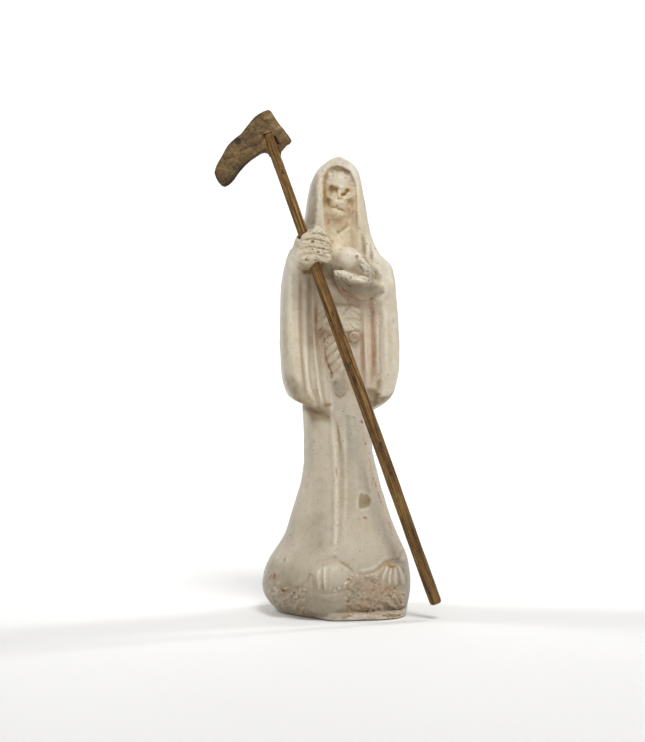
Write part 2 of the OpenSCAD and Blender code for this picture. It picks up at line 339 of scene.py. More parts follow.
def noise_at(p, cell, seed):
    """The same noise at scattered points."""
    key = (cell, seed)
    lo = np.array([-72.0, -48.0, -8.0])
    size = [int(s / cell) + 6 for s in (144.0, 96.0, 236.0)]
    if key not in _lattice:
        _lattice[key] = np.random.default_rng(seed).uniform(-1, 1, size).astype(F)
    lat = _lattice[key]
    t = (p - lo) / cell + 1
    i = np.floor(t).astype(int)
    f = t - i
    s = f * f * (3 - 2 * f)
    out = 0
    for a in (0, 1):
        for b in (0, 1):
            for c in (0, 1):
                w = (s[:, 0] if a else 1 - s[:, 0]) * (s[:, 1] if b else 1 - s[:, 1]) * (s[:, 2] if c else 1 - s[:, 2])
                out = out + w * lat[np.clip(i[:, 0] + a, 0, size[0] - 1), np.clip(i[:, 1] + b, 0, size[1] - 1), np.clip(i[:, 2] + c, 0, size[2] - 1)]
    return out.astype(F)

# ---------------------------------------------------------------- whole shapes
ROBE = Loft([[-6, -26.0, 30.2, -20.6, 22], [0, -26.8, 30.6, -22.2, 22.6], [2, -28.6, 31.0, -23.4, 23.6],
             [4.5, -30.6, 31.4, -24.6, 24.6], [7.5, -32.2, 32.0, -25.4, 25.2], [12, -33.0, 32.3, -25.8, 25.4],
             [18, -32.2, 31.8, -25.4, 24.8], [22, -30.6, 31.4, -24.2, 23.8], [25.5, -28.4, 30.4, -23.2, 22.8],
             [29, -26.0, 28.8, -22.0, 21.6], [32.5, -23.8, 27.0, -20.8, 20.4], [36, -22.2, 25.6, -19.8, 19.4],
             [43, -20.3, 23.0, -18.4, 18.0], [50, -18.3, 20.8, -17.2, 16.6], [57, -16.1, 18.6, -16.4, 15.6],
             [63, -14.9, 17.2, -15.8, 14.8], [70, -14.7, 15.4, -15.2, 14.2], [82, -15.0, 14.6, -14.8, 14], [90, -15.7, 14.5, -14.8, 14],
             [100, -14.2, 14.2, -14.8, 14], [118, -14.2, 14.2, -15.2, 14], [132, -14.6, 14.4, -15.2, 14],
             [145, -15.5, 14.6, -14.2, 14], [153, -16.0, 14.4, -13.4, 13.6], [159, -14.4, 13.2, -12.8, 12.8],
             [164, -11.4, 10.4, -11.6, 11.2], [168, -7.6, 6.4, -10.4, 9], [173, -5.4, 4.0, -9.4, 4]], n=2.35)
ROBE_IN = Loft([[3, -24.5, 27.5, -22, 19.5], [12, -29.5, 29, -23, 22], [22, -27, 28, -21, 20.5], [36, -18.8, 22, -16.5, 16],
                [57, -12.8, 15.2, -13.2, 12.4], [82, -11.2, 11.2, -11.6, 10.8], [145, -12, 11.2, -11, 10.8],
                [158, -10, 9, -9, 9]], n=2.35)
HOOD = Loft([[149.2, -23.0, 22.0, -13, 15.6], [153, -22.2, 20.2, -13.4, 15.6], [157, -20.8, 17.8, -14, 15.5],
             [161, -18.8, 16.2, -14.6, 15.3], [165, -17.0, 14.9, -15.4, 15], [169, -15.4, 13.8, -16.2, 14.8],
             [174, -14.2, 12.8, -16.9, 14.5], [179, -13.5, 11.9, -17.2, 14], [184, -12.7, 10.7, -17.4, 13.2],
             [188, -11.9, 10.0, -17.2, 12.2], [191.5, -10.6, 9.3, -16.6, 10.6], [194.5, -8.8, 7.8, -15.4, 8.2],
             [196.6, -6.2, 5.2, -13.4, 5], [198.2, -3.6, 2.8, -11, 1.2], [199.2, -1.2, 0.8, -8.6, -2.4]], n=2.5, soft=0.9)
SLEEVE_R = Loft([[80, -16, -5, -17.4, 11], [86, -17.6, -6, -17.6, 12], [89, -19.0, -7.4, -17.8, 12.4], [92.5, -21.0, -9, -18.2, 12.6], [96, -22.6, -10.6, -18.4, 12.8],
                 [99.5, -23.8, -11.6, -18.5, 13], [104, -24.7, -12.2, -18.6, 13], [110, -25.2, -12.4, -18.6, 13], [117, -25.6, -12.4, -18.6, 13],
                 [131, -25.4, -12.4, -18.2, 13], [138, -25.1, -12.2, -17.8, 13], [142, -24.7, -12, -17.6, 13],
                 [146, -24.2, -11.6, -17.4, 13], [150, -23.4, -10.8, -17.2, 13], [154, -22.5, -10, -16.8, 13],
                 [158, -20.8, -8, -15.4, 12.2], [162, -18.2, -6, -12.6, 10.4], [165, -15.6, -5, -9.6, 8.6]], n=2.9)
SLEEVE_L = Loft([[84, 11, 16, -16.6, 11], [89, 12.6, 19.4, -17, 12], [92.5, 13.2, 21.8, -17.2, 12.4], [96, 13.6, 23.9, -17.4, 12.8],
                 [99.5, 13.9, 25.0, -17.6, 13], [106.5, 14.1, 26.3, -17.8, 13], [117, 14.2, 26.6, -17.8, 13],
                 [131, 14.2, 25.7, -17.6, 13], [138, 13.6, 25.2, -17.6, 13], [142, 12.4, 24.6, -17.4, 13],
                 [146, 10.6, 23.6, -16.8, 13], [150, 8.8, 22.2, -15.6, 13], [154, 7.4, 20.0, -14.4, 13],
                 [158, 6.4, 17.6, -13.2, 12.4], [162, 5, 15.4, -11.6, 10.6], [165, 4, 13.8, -9.6, 8.6]], n=2.6)
PLINTH = Loft([[-6, -25.5, 28.6, -26.6, 21], [0, -25.5, 28.8, -26.9, 21], [1.6, -25.6, 29.2, -27.2, 21.4], [3.2, -25.2, 29.0, -26.8, 21.2]], n=3.4, soft=0.4)

# outline of the hood's opening and of the belt band on the front drawing
OPENING = Drawing().outline([(323.4, 209), (322.9, 196), (323.2, 184), (324.6, 176), (327.2, 170.6), (331, 167.4),
                             (336.4, 165.8), (343, 167.4), (349.4, 171.2), (353.8, 179), (355.8, 188), (356.4, 200),
                             (356.8, 212), (357.4, 225), (358.6, 236), (360, 246), (358, 254), (350, 258), (340, 259),
                             (333, 255), (329, 246), (326.5, 236), (324.6, 226), (323.6, 217)])
BAND = Drawing().outline([(315.4, 306.4), (319, 303.6), (324, 304.4), (330, 302.8), (336, 303.8), (342, 303), (347, 304.6), (352, 303.6),
                          (358, 305.6), (361.6, 304.8), (362.4, 310), (361.4, 317), (362.2, 324), (361.4, 330), (357, 331.4), (352, 332.6),
                          (346.5, 332.4), (341, 330.6), (336, 331), (330, 328.6), (325, 329.6), (320, 327.8), (315.6, 328.2), (314.8, 318)])


def plane_of(g):
    return to_plane(g.x + 0 * g.y + 0 * g.z, g.y + 0 * g.z, g.z + 0 * g.x)


def drawn(g, outline):
    px, py = plane_of(g)
    return look_up(outline, px.ravel(), py.ravel()).reshape(g.shape) * F(0.43)


def f_robe(g):
    """The robe, with the body filled out to the sleeves on both sides."""
    d = ROBE(g)
    d = smin(d, egg(g, (-2.6, -15.4, 152.6), (6.6, 6.0, 6.4)), 3.0)
    d = smin(d, egg(g, (-1.6, -18.2, 153.2), (4.9, 4.9, 5.2)), 3.0)
    d = smin(d, bar(g, (12.6, -9.2, 144), (12.4, -10.0, 95), 5.3, 4.6), 3.0)
    d = smin(d, bar(g, (-9.6, -9.4, 149), (-8.6, -9.4, 94), 5.6, 4.8), 3.0)
    return smin(d, bar(g, (-14.2, -9.8, 149), (-13.8, -9.8, 99), 5.2, 4.9), 3.0)


def opening_cut(g):
    """What is carved out of the hood in front of the face, the neck and the chest."""
    floor = np.interp(g.ax[2], [150, 158, 164, 170, 176, 184, 190, 196], [-13.6, -13.4, -13.5, -13.6, -13.8, -14.0, -13.7, -12.6]).astype(F)[None, None, :]
    return smax(drawn(g, OPENING), g.y - floor, 1.6)


def f_hood(g):
    d = HOOD(g, k=1.6)
    # the side of the hood turns back sharply behind its rim
    rim = np.interp(g.ax[2], [150, 160, 170, 180, 188, 194], [-12.2, -11.6, -11.2, -10.9, -9.6, -6.5]).astype(F)[None, None, :]
    fy = np.interp(g.ax[2], [150, 160, 170, 180, 188, 194], [-14.6, -15.4, -16.2, -16.6, -16.2, -14.0]).astype(F)[None, None, :]
    d = smax(d, -(g.x - rim) * F(0.92) - (g.y - fy) * F(0.39), 0.7)
    return smax(d, -opening_cut(g), 1.0)


def f_skull(g):
    d = egg(g, (-0.5, -6.6, 185.0), (8.0, 9.4, 10.8))
    d = smin(d, egg(g, (-1.3, -10.6, 178.2), (5.8, 5.3, 4.4)), 2.0)
    d = smin(d, egg(g, (-1.7, -10.4, 174.2), (5.1, 5.1, 3.9)), 1.8)
    d = smin(d, chain(g, [(5.0, -10.6, 190.0), (5.6, -11.9, 182.0), (5.8, -12.2, 176.0), (5.6, -11.8, 171.6)], [2.2, 2.4, 2.4, 2.0], 1.0), 2.2)
    return smax(d, F(170.0) - g.z, 0.8)


def f_sleeve_right(g):
    d = SLEEVE_R(g, k=2.0)
    low = 93.0 - 0.28 * (g.x + 23.4) - 0.42 * np.maximum(g.x + 9.5, 0) + 0.06 * (g.y + 17)
    d = smax(d, (low - g.z) * F(0.9), 2.6)
    # the forearm comes forward to the fist, and its cuff closes round the back of the hand
    d = smin(d, chain(g, [(-18.2, -8, 153), (-18.6, -17, 154.4), (-18.9, -23.5, 157.0)], [5.0, 4.8, 3.6], 1.0), 3.0)
    return d


def f_sleeve_left(g):
    d = SLEEVE_L(g, k=2.4)
    low = 91.0 + 0.28 * (g.x - 14.5) - 0.2 * (g.y + 17)
    d = smax(d, (low - g.z) * F(0.85), 3.4)
    d = smin(d, chain(g, [(17, -9, 148), (17.5, -14.5, 142.5), (15.6, -17.6, 140.6)], [6.4, 5.2, 4.2], 1.0), 3.0)
    return smax(d, -opening_cut(g), 0.8)


def f_hand_right(g):
    d = egg(g, (-14.6, -24.4, 157.8), (6.6, 6.4, 6.8))
    d = smin(d, egg(g, (-12.6, -17, 156.6), (5.4, 6, 6.0)), 2.0)
    d = smin(d, egg(g, (-18.6, -25.2, 158.4), (3.4, 4.8, 5.2)), 1.6)
    f = bar(g, (-18.0, -28.2, 155.4), (-9.4, -28.4, 154.6), 2.4, 2.3)
    for a, b, ra, rb in [((-15.4, -29.0, 164.3), (-10.4, -28.9, 163.0), 1.5, 1.3),
                         ((-17.8, -30.0, 161.4), (-9.6, -30.2, 160.0), 1.8, 1.7),
                         ((-18.3, -30.4, 158.0), (-9.2, -30.7, 156.6), 1.85, 1.8),
                         ((-19.6, -30.0, 154.4), (-9.0, -30.3, 153.1), 1.95, 1.85)]:
        f = smin(f, bar(g, a, b, ra, rb), 0.5)
        f = smin(f, bar(g, b, (b[0] + 1.0, b[1] + 4.2, b[2] - 0.2), rb, rb * 0.85), 0.5)
    d = smin(d, bar(g, (-17.0, -27.2, 152.8), (-14.0, -27.2, 163.0), 4.6, 4.0), 1.2)
    d = smin(d, f, 1.5)
    # the pole's way through the fist
    s, c = math.sin(math.radians(20)), math.cos(math.radians(20))
    u = (g.x + 16) * F(c) + (g.z - 156.7) * F(s)
    bore = F(2.98) - np.sqrt(u * u + (g.y + 27) ** 2)
    return smax(d, bore, 0.5)


def f_globe(g):
    return egg(g, (1.7, -22.4, 153.2), (5.3, 5.2, 5.3))


def f_hand_left(g):
    P = at
    d = chain(g, [P(345, 281.5, -21.0), P(357, 284.5, -21.0), P(369, 287, -19.4), P(379, 287.5, -16.4)], [3.0, 3.7, 3.7, 3.3], 1.2)
    d = smin(d, chain(g, [P(338, 275.2, -24.2), P(345, 278, -23.8), P(356, 280.6, -23.2), P(368, 282, -21.6)], [2.0, 2.5, 2.8, 2.9], 1.0), 1.4)
    # rim of the cupped palm: four finger tips, then the heel of the hand
    d = smin(d, chain(g, [P(335.6, 272.6, -26.8), P(343, 273.6, -27.8), P(350, 276.4, -28.2), P(360, 279.4, -27.6), P(369, 280.0, -25.2)],
                      [1.15, 1.3, 1.3, 1.5, 1.9], 0.8), 1.2)
    d = smin(d, chain(g, [P(358.4, 255.6, -26.4), P(361.6, 261.5, -27.6), P(366.4, 268.2, -27.4), P(370.5, 275, -25.4)], [1.1, 1.3, 1.55, 1.9], 0.6), 1.0)
    d = smin(d, egg(g, (3, -17, 145.5), (6.5, 6.5, 4.2)), 2.4)
    d = smin(d, egg(g, P(363, 272, -22.6), (3.4, 4.0, 3.8)), 1.4)
    # the underside of the hand is one smooth slope back to the body
    d = smin(d, chain(g, [P(347, 286, -16.5), P(360, 290.5, -16.5), P(375, 291.5, -14.5)], [3.2, 3.8, 3.6], 1.2), 3.0)
    return smax(d, -egg(g, (1.7, -22.4, 153.2), (5.2, 5.15, 5.2)), 0.3)


def f_belt(g):
    return smax(ROBE(g, 1.6, ends=False), drawn(g, BAND), 2.8)


CORD = [(328.5, 329.5), (329.2, 337), (330.6, 345), (332.2, 353), (334.2, 361), (336.6, 369), (338.4, 377)]


def f_belt_cord(g):
    """A flat plait: broad strands that slope up to the right and overlap."""
    d = None
    p = smooth_line(CORD, 6)
    run = np.concatenate([[0], np.cumsum(np.hypot(*(p[1:] - p[:-1]).T))])
    n = 6
    for i in range(n):
        s = run[-1] * (i + 0.25) / (n - 0.4)
        x, y = np.interp(s, run, p[:, 0]), np.interp(s, run, p[:, 1])
        w = 5.6 - 1.4 * (i / n) ** 2
        a, b, m = at(x - w, y + 4.6, -14.9), at(x + w * 0.9, y - 5.0, -14.9), at(x, y, -15.3)
        d = smin(d, chain(g, [a, m, b], [1.25, 1.95, 1.2], 0.4), 0.55)
    # a thin loose strand lies along its right edge
    q = [at(a, b, -15.3) for a, b in [(341.2, 360), (341.8, 370), (341.9, 383)]]
    return smin(d, chain(g, q, [0.5, 0.6, 0.5], 0.3), 0.4)


def f_cord_knot(g):
    c = at(354.4, 337.0, -16.0)
    u, v, w = g.x - F(c[0]), g.z - F(c[2]), g.y - F(c[1])
    ring = np.sqrt((np.sqrt(u * u + v * v) - 1.75) ** 2 + w * w) - 0.72
    return smin(ring, egg(g, c + np.array([0, 0.5, 0]), (1.7, 0.9, 1.7)), 0.3)


def f_cord_tassel(g):
    d = egg(g, at(340.4, 388.2, -14.9), (3.1, 1.7, 3.1))
    return smin(d, chain(g, [at(339, 377, -14.9), at(339.8, 384, -15.0)], [1.4, 1.6], 0.5), 1.0)


def f_mound_centre(g):
    d = egg(g, (-5.6, -23.4, 18.2), (8.3, 5.2, 6.3))
    return smin(d, egg(g, (-6.4, -20.4, 8.0), (9.6, 6.4, 8.4)), 2.4)


def f_mound_right(g):
    d = egg(g, (20.0, -16.8, 17.4), (7.4, 7.4, 7.0))
    return smin(d, egg(g, (21.0, -17.6, 8.2), (6.6, 6.6, 5.6)), 1.8)


def f_mound_left(g):
    d = egg(g, (-24.2, -12.4, 9.6), (8.2, 9.0, 6.4))
    d = smin(d, egg(g, (-17.2, -19.0, 8.0), (6.4, 6.0, 5.6)), 1.6)
    return smin(d, egg(g, (-13.2, -22.6, 4.6), (4.4, 3.6, 3.4)), 1.4)


def f_plinth(g):
    return PLINTH(g, k=0.5)


# name: (field, lowest corner, highest corner)
FIELDS = {
    "robe": (f_robe, (-34, -28, -2), (34, 27, 174)),
    "hood": (f_hood, (-24, -19, 147), (23, 17, 201)),
    "sleeve_right": (f_sleeve_right, (-27, -28, 82), (-2, 14, 167)),
    "sleeve_left": (f_sleeve_left, (2, -23, 84), (28, 14, 167)),
    "skull": (f_skull, (-9, -17, 169), (9, 4, 196.5)),
    "hand_right": (f_hand_right, (-23, -34, 149), (-5, -10, 167)),
    "hand_left": (f_hand_left, (-6, -31, 135), (20, -10, 158)),
    "globe": (f_globe, (-4, -30, 147), (7, -19, 158)),
    "belt": (f_belt, (-14, -19, 120), (10, -8, 136)),
    "belt_cord": (f_belt_cord, (-9, -19, 98), (5, -13, 126)),
    "cord_knot": (f_cord_knot, (1, -18, 116), (8, -13, 124)),
    "cord_tassel": (f_cord_tassel, (-6, -19, 93), (4, -12, 105)),
    "hem_mound_centre": (f_mound_centre, (-17, -30, -2), (5, -16, 26)),
    "hem_mound_right": (f_mound_right, (12, -25, 2), (29, -8, 26)),
    "hem_mound_left": (f_mound_left, (-34, -27, 0), (-8, -2, 17)),
    "plinth": (f_plinth, (-27, -29, -2), (31, 23, 3.4)),
}


def compose(f):
    """One coat over all the pieces."""
    d = smin(f["robe"], f["hood"], 1.6)
    d = smin(d, f["sleeve_right"], 1.3)
    d = smin(d, f["sleeve_left"], 1.3)
    d = smin(d, f["skull"], 0.8)
    d = smin(d, f["belt"], 0.4)
    d = smin(d, f["belt_cord"], 0.35)
    d = smin(d, f["cord_knot"], 0.35)
    d = smin(d, f["cord_tassel"], 0.5)
    d = smin(d, f["hem_mound_centre"], 1.6)
    d = smin(d, f["hem_mound_right"], 1.4)
    d = smin(d, f["hem_mound_left"], 1.8)
    d = smin(d, f["hand_left"], 0.9)
    d = smin(d, f["globe"], 2.2)
    d = smin(d, f["hand_right"], 0.7)
    d = smin(d, f["plinth"], 0.4)
    return d

# ---------------------------------------------------------------- relief drawn on the front
H = Drawing()
# right sleeve (at the viewer's left): three long folds between deep valleys
H.gain, H.wide = 0.86, 1.1
H.area([(301.5, 274), (303, 267), (310, 266), (318, 268), (319.6, 300), (322, 345), (327, 380), (330, 404), (322, 409), (312, 403), (305, 392), (301.5, 370), (300.4, 340), (300.4, 300)], -0.7, 3.0)
H.line([(290.6, 258), (290.7, 308), (291.5, 340), (292.6, 358), (295, 372), (298, 388)], 3.4, 0.85, 0.1)
H.line([(285.6, 285), (286.0, 330), (287.2, 360), (289.5, 380)], 2.2, -0.4)
H.line([(282.4, 320), (283, 355), (285.4, 382)], 1.6, 0.25)
H.line([(300.6, 274), (300.2, 308), (300.8, 340), (302.0, 358), (303.4, 374), (305, 390), (307.6, 400)], 2.2, -1.2, 0.1)
H.line([(304.4, 272), (304.8, 308), (306.5, 350), (308, 372), (310, 388), (312.6, 401)], 2.3, 0.42, 0.12)
H.line([(309.4, 276), (309.8, 308), (311, 330), (312.5, 352), (314.6, 372), (316.5, 392), (319, 404)], 1.15, -0.66, 0.1)
H.line([(312.7, 280), (312.8, 308), (314.7, 348), (317.4, 372), (319.8, 392), (323, 405)], 1.6, 0.4, 0.12)
H.line([(315.9, 300), (316.1, 330), (318.3, 350), (320.4, 370), (322.8, 391), (326, 408)], 1.5, -0.9, 0.12)
H.line([(323.2, 342), (323.4, 356), (324.6, 370)], 1.5, 0.25)
H.line([(300, 405.5), (309, 408), (319, 412.5), (327, 418)], 2.6, -0.7)
H.line([(300.4, 399.4), (309.8, 403), (319.8, 406.4), (330, 414)], 1.3, 0.35)
# left sleeve (at the viewer's right)
H.line([(370.6, 297), (371.8, 312), (373.1, 345), (373.2, 368), (371.6, 386)], 1.6, -1.25, 0.12)
H.line([(377, 303), (377.2, 345), (377.6, 382)], 1.1, 0.35)
H.line([(379.6, 308), (379, 350), (379.8, 380)], 1.1, -0.2)
H.line([(384, 296), (385.4, 335), (385.2, 378)], 2.8, 0.5)
H.line([(390.4, 308), (390.4, 345), (389.2, 382)], 1.9, -0.3)
H.spot(378.9, 383, 1.9, 6.5, -0.3, 4, 0.8)
H.line([(376.4, 395.4), (379, 394), (381.6, 395.6)], 0.8, -0.6)
# torso
H.line([(361.6, 331.5), (362, 345), (362.3, 360), (362.8, 376), (364.6, 392)], 1.5, -0.9)
H.line([(363.8, 302), (364.4, 320), (365.1, 345), (366.2, 365), (368.4, 388)], 1.6, 0.85)
H.line([(368.6, 330), (368.8, 350), (370, 372)], 1.4, 0.25)
H.line([(336, 289), (345, 296.5), (354, 301)], 1.2, -0.4)
H.line([(341, 297), (347.5, 303)], 0.9, 0.3)
H.line([(348.6, 294.5), (348.2, 305)], 0.9, -0.35)
H.line([(356, 299), (353.5, 305)], 0.9, 0.3)
H.line([(352, 340), (353.5, 360), (357, 380)], 2.6, 0.3)
# belt band
H.gain, H.wide = 1.9, 1.15
for pts, w, a in [([(341.5, 315.5), (346, 309.5), (350, 306)], 0.8, -0.4), ([(343, 318.2), (352, 318.6), (361, 320.4)], 0.75, -0.5),
                  ([(343, 316.6), (352, 317), (360.6, 318.6)], 0.7, 0.25), ([(348.5, 322.5), (353.4, 329)], 0.8, -0.4),
                  ([(346, 322), (351, 330)], 0.7, 0.3), ([(352, 310.5), (357, 315.6)], 0.9, 0.3), ([(354.6, 309), (360.5, 315)], 0.8, -0.3),
                  ([(342.6, 326.5), (347, 321.5), (350, 320.6)], 0.9, 0.3), ([(355, 322.5), (360, 325.4)], 0.8, -0.3),
                  ([(318, 324.6), (323.4, 318), (328, 312.6)], 0.85, -0.55), ([(320.4, 327), (327.4, 319.4)], 0.8, 0.4),
                  ([(317.6, 315), (322.8, 308.6)], 0.8, -0.4), ([(320, 318), (326.4, 310.6)], 0.8, 0.35), ([(325, 326.8), (329, 322)], 0.7, -0.35),
                  ([(317, 320), (319.4, 316.6)], 0.8, 0.3)]:
    H.line(pts, w, a)
for x, y, r, d in [(355, 328.8, 0.9, 0.6), (358.7, 327.4, 0.8, 0.5), (343.8, 308.2, 0.8, 0.4), (321.8, 326.4, 0.9, 0.6), (330, 405.2, 1, 0.3)]:
    H.pit(x, y, r, d)
H.gain, H.wide = 0.9, 1.1
# hanging cord: a sunk line down its left edge
H.line([(324.8, 335), (324.6, 346), (326, 357), (329, 366), (332, 374), (333.6, 384)], 0.8, -0.45)
H.line([(334, 392), (340.5, 396.6), (346.8, 391)], 0.8, -0.5)
H.line([(337.6, 380), (338.6, 387)], 0.7, -0.25)
H.line([(342.6, 380), (342.2, 386)], 0.7, -0.25)
# skirt
H.gain, H.wide = 0.85, 1.3
H.line([(334.6, 410), (336.8, 424), (339, 438), (340.6, 452), (341.4, 470), (341, 500), (340.4, 528), (340.2, 550)], 1.9, -0.45, 0.12)
H.line([(336.6, 420), (339.4, 440), (341, 456)], 1.0, -0.4)
H.line([(331, 390), (331.8, 412), (333.6, 438), (335.3, 468), (336.4, 495), (336.2, 520), (335.8, 543), (335.2, 558)], 2.6, 0.6, 0.12)
H.line([(327.2, 412), (329.6, 440), (331.6, 470), (332.2, 500), (331.4, 530), (329.6, 552)], 2.2, -0.4)
H.line([(343.2, 408), (345, 430), (346, 460), (346.2, 490), (345.4, 524)], 2.2, 0.5)
H.line([(348.6, 412), (350.4, 433), (350.8, 462)], 1.6, -0.15)
H.line([(352, 412), (354, 440), (356.4, 470), (359, 495)], 2.8, 0.5)
H.line([(358, 418), (361.2, 440), (363, 465), (367, 492)], 2.2, -0.35)
H.line([(367, 462), (370, 484), (374.4, 505), (381, 530)], 2.4, 0.45)
H.line([(307, 455), (305.6, 480), (301.4, 503), (297, 525), (293.6, 545)], 3.4, 0.5)
H.line([(312, 470), (309.6, 500), (306, 530)], 3.5, -0.25)
H.line([(315, 428), (315.6, 450), (314, 475)], 3.0, 0.25)
H.line([(346, 416), (350, 418.2), (356.4, 416.2)], 0.9, -0.35)
H.line([(347, 414), (351, 416)], 0.7, 0.25)
H.spot(328, 405.4, 3.1, 2.0, -0.6, 0, 0.9)
chip = [(359.5, 495.5), (361, 493.6), (364, 494.4), (367.6, 495), (370.6, 498.4), (371.2, 502), (369, 505.6), (366, 507.4), (362.6, 508.4), (359.2, 509), (358.4, 505), (359, 500)]
H.area(chip, -0.55, 0.8)
H.spot(364, 501, 2, 2.4, -0.2)
H.line([(358.6, 492.6), (362, 491), (366, 492.2)], 0.9, 0.2)
# hem
H.gain, H.wide = 0.75, 1.3
H.line([(306.5, 583), (309, 577), (312.6, 570), (319, 562.4), (329, 558.8), (339.7, 560.4), (346.6, 564.6), (352.6, 570.2), (357, 575.4)], 1.5, -0.28, 0.06)
H.line([(330, 556.6), (339, 558.8), (346, 562.6)], 1.1, 0.2)
H.line([(349, 565), (354.6, 570.6), (358.6, 577), (359.4, 583)], 1.3, 0.25)
H.line([(356.6, 574.4), (365, 574), (375.4, 571), (381, 566.6), (385.6, 562.8), (392, 561), (399.6, 558.4), (402.4, 548)], 1.9, -0.9, 0.06)
H.line([(358, 570.6), (368, 570.4), (376, 566.8), (383, 560.6), (392, 556.6)], 2.4, 0.2)
H.line([(273.6, 583.4), (279, 588), (285.4, 590.4), (291, 589.6), (296, 587.6), (302, 585), (306, 581)], 1.6, -0.5, 0.06)
H.line([(284, 583), (293, 584), (301, 580)], 3.0, 0.3)
H.spot(281.6, 577, 4.4, 4.6, -0.4)
for x, y, r, a in [(276, 593, 3.4, 0.6), (283.5, 597.5, 4.4, 0.7), (290.6, 594.4, 2.4, 0.5), (298.4, 594.6, 3.0, 0.7), (292, 601, 2.2, -0.5),
                   (302.6, 601, 2.6, 0.6), (306.6, 606.4, 3.2, 0.5), (298, 608, 2.6, -0.5), (289, 606.4, 3.2, 0.45), (279.6, 603, 2.6, 0.4),
                   (301, 590.4, 1.8, 0.5), (307, 596, 1.6, -0.5), (295.6, 590.6, 1.4, -0.4), (304, 612, 2.6, 0.4), (296, 599.6, 1.3, -0.5),
                   (311, 601, 2, 0.3), (286, 592.6, 1.2, -0.4), (300.4, 598, 1.1, -0.5), (303.6, 595.4, 1.2, 0.4)]:
    H.spot(x, y, r, r * 0.85, a)
H.gain, H.wide = 0.75, 1.1
# centre mound: two upright strips, a knobbly lower edge and a smooth bulge under it
for pts, w, a in [([(318.6, 568.6), (317.9, 579), (319.2, 590)], 1.5, 0.46), ([(322.4, 567.4), (321.8, 579), (322.8, 591.6)], 0.9, -0.6),
                  ([(325.2, 566), (324.8, 579), (325.6, 591.4)], 1.2, 0.5), ([(328.8, 566.4), (328.4, 579), (328.8, 590.6)], 1.0, -0.36),
                  ([(312.8, 574), (312.4, 582), (314.4, 590)], 1.1, -0.5), ([(317, 592.6), (327, 594.2), (338, 592.6), (347.6, 588.2)], 1.5, -0.4),
                  ([(323, 597.4), (332, 600.4), (343, 598)], 1.3, 0.25), ([(326, 603), (336, 604), (344, 601)], 1.4, -0.15)]:
    H.line(pts, w, a, 0.12)
for x, y, r, a in [(329.6, 589.4, 2.0, 0.45), (334.6, 590.6, 1.7, 0.4), (339.4, 588.6, 1.9, 0.5), (344.6, 586.4, 2.0, 0.5), (332.2, 588, 0.8, -0.4),
                   (337, 588.6, 0.8, -0.4), (342, 586.6, 0.8, -0.4), (348.4, 582.4, 1.6, 0.4)]:
    H.spot(x, y, r, r, a)
# right mound: wavy strands from its top, then a pointed lower part and a ledge
for pts, w, a in [([(388.4, 565.4), (384.2, 573), (382.4, 582), (383.6, 590)], 1.3, 0.42), ([(390, 567), (387, 575), (385.8, 584)], 0.8, -0.45),
                  ([(391.6, 566), (390, 576), (389.2, 587)], 1.3, 0.42), ([(393.2, 567.4), (392.4, 577), (392.2, 587)], 0.8, -0.45),
                  ([(394.8, 565.4), (395.8, 576), (396, 588)], 1.3, 0.42), ([(396.6, 566.4), (399.2, 575.6), (400, 587)], 0.85, -0.5),
                  ([(398.6, 565.4), (402.4, 574.6), (403.6, 586)], 1.3, 0.42), ([(401, 566), (405.2, 575), (406.6, 585)], 0.85, -0.5),
                  ([(384.6, 567.6), (380.6, 576), (379.6, 585)], 1.1, -0.5), ([(380, 595.6), (388, 601.6), (397, 607.4)], 1.1, 0.45),
                  ([(386.4, 593.4), (393.4, 600.6), (398.6, 606.4)], 0.9, -0.7), ([(390.4, 592.6), (396.4, 599.4), (400, 606)], 1.1, 0.5),
                  ([(394.6, 592), (399, 598.6), (401.6, 605)], 0.9, -0.6), ([(398.6, 590.6), (402.4, 597.4), (403.4, 604)], 1.1, 0.45),
                  ([(371, 598.6), (377.4, 599.4), (387.4, 603), (397.4, 609.4), (403, 606.4)], 1.3, 0.6),
                  ([(371, 601.4), (380, 603.4), (389, 607.4), (397, 612)], 1.4, -0.4)]:
    H.line(pts, w, a, 0.15)
H.spot(388, 590.6, 3.4, 1.6, -0.5)
H.spot(369.6, 585, 7.5, 8.5, -1.0)
H.line([(362.4, 576.4), (365, 581)], 0.9, 0.5)
H.line([(366, 577), (369.6, 581.6)], 0.9, 0.4)
H.line([(364.2, 577.6), (367, 582.4)], 0.6, -0.5)
for x, y, r, a in [(363, 597.4, 2.2, 0.6), (357.6, 603.6, 2.4, 0.5), (365, 606, 2.0, 0.4), (352.6, 607.6, 2, 0.35), (360.6, 609.6, 1.6, -0.4), (372, 594, 2, 0.35), (377, 588, 2.2, -0.4)]:
    H.spot(x, y, r, r * 0.8, a)
# the plinth's rough edge
H.gain, H.wide = 0.75, 1.1
H.line([(341, 619.6), (346, 617.8), (351, 615.4), (357, 613.6), (374, 613.4), (380, 614.6), (385, 616), (388, 614.8), (394, 616), (402.4, 614)], 1.1, -0.8, 0.05)
for x, y, r, a in [(358, 616, 1.6, 0.4), (366, 617.2, 2, 0.35), (372, 616.4, 1.2, -0.5), (377, 618, 1.8, 0.4), (383, 619, 1.3, -0.3), (390, 618.6, 2.2, 0.3), (397, 617.4, 1.6, 0.35), (352, 618, 1.4, 0.3)]:
    H.spot(x, y, r, r * 0.7, a)
H.gain, H.wide = 0.95, 1.1
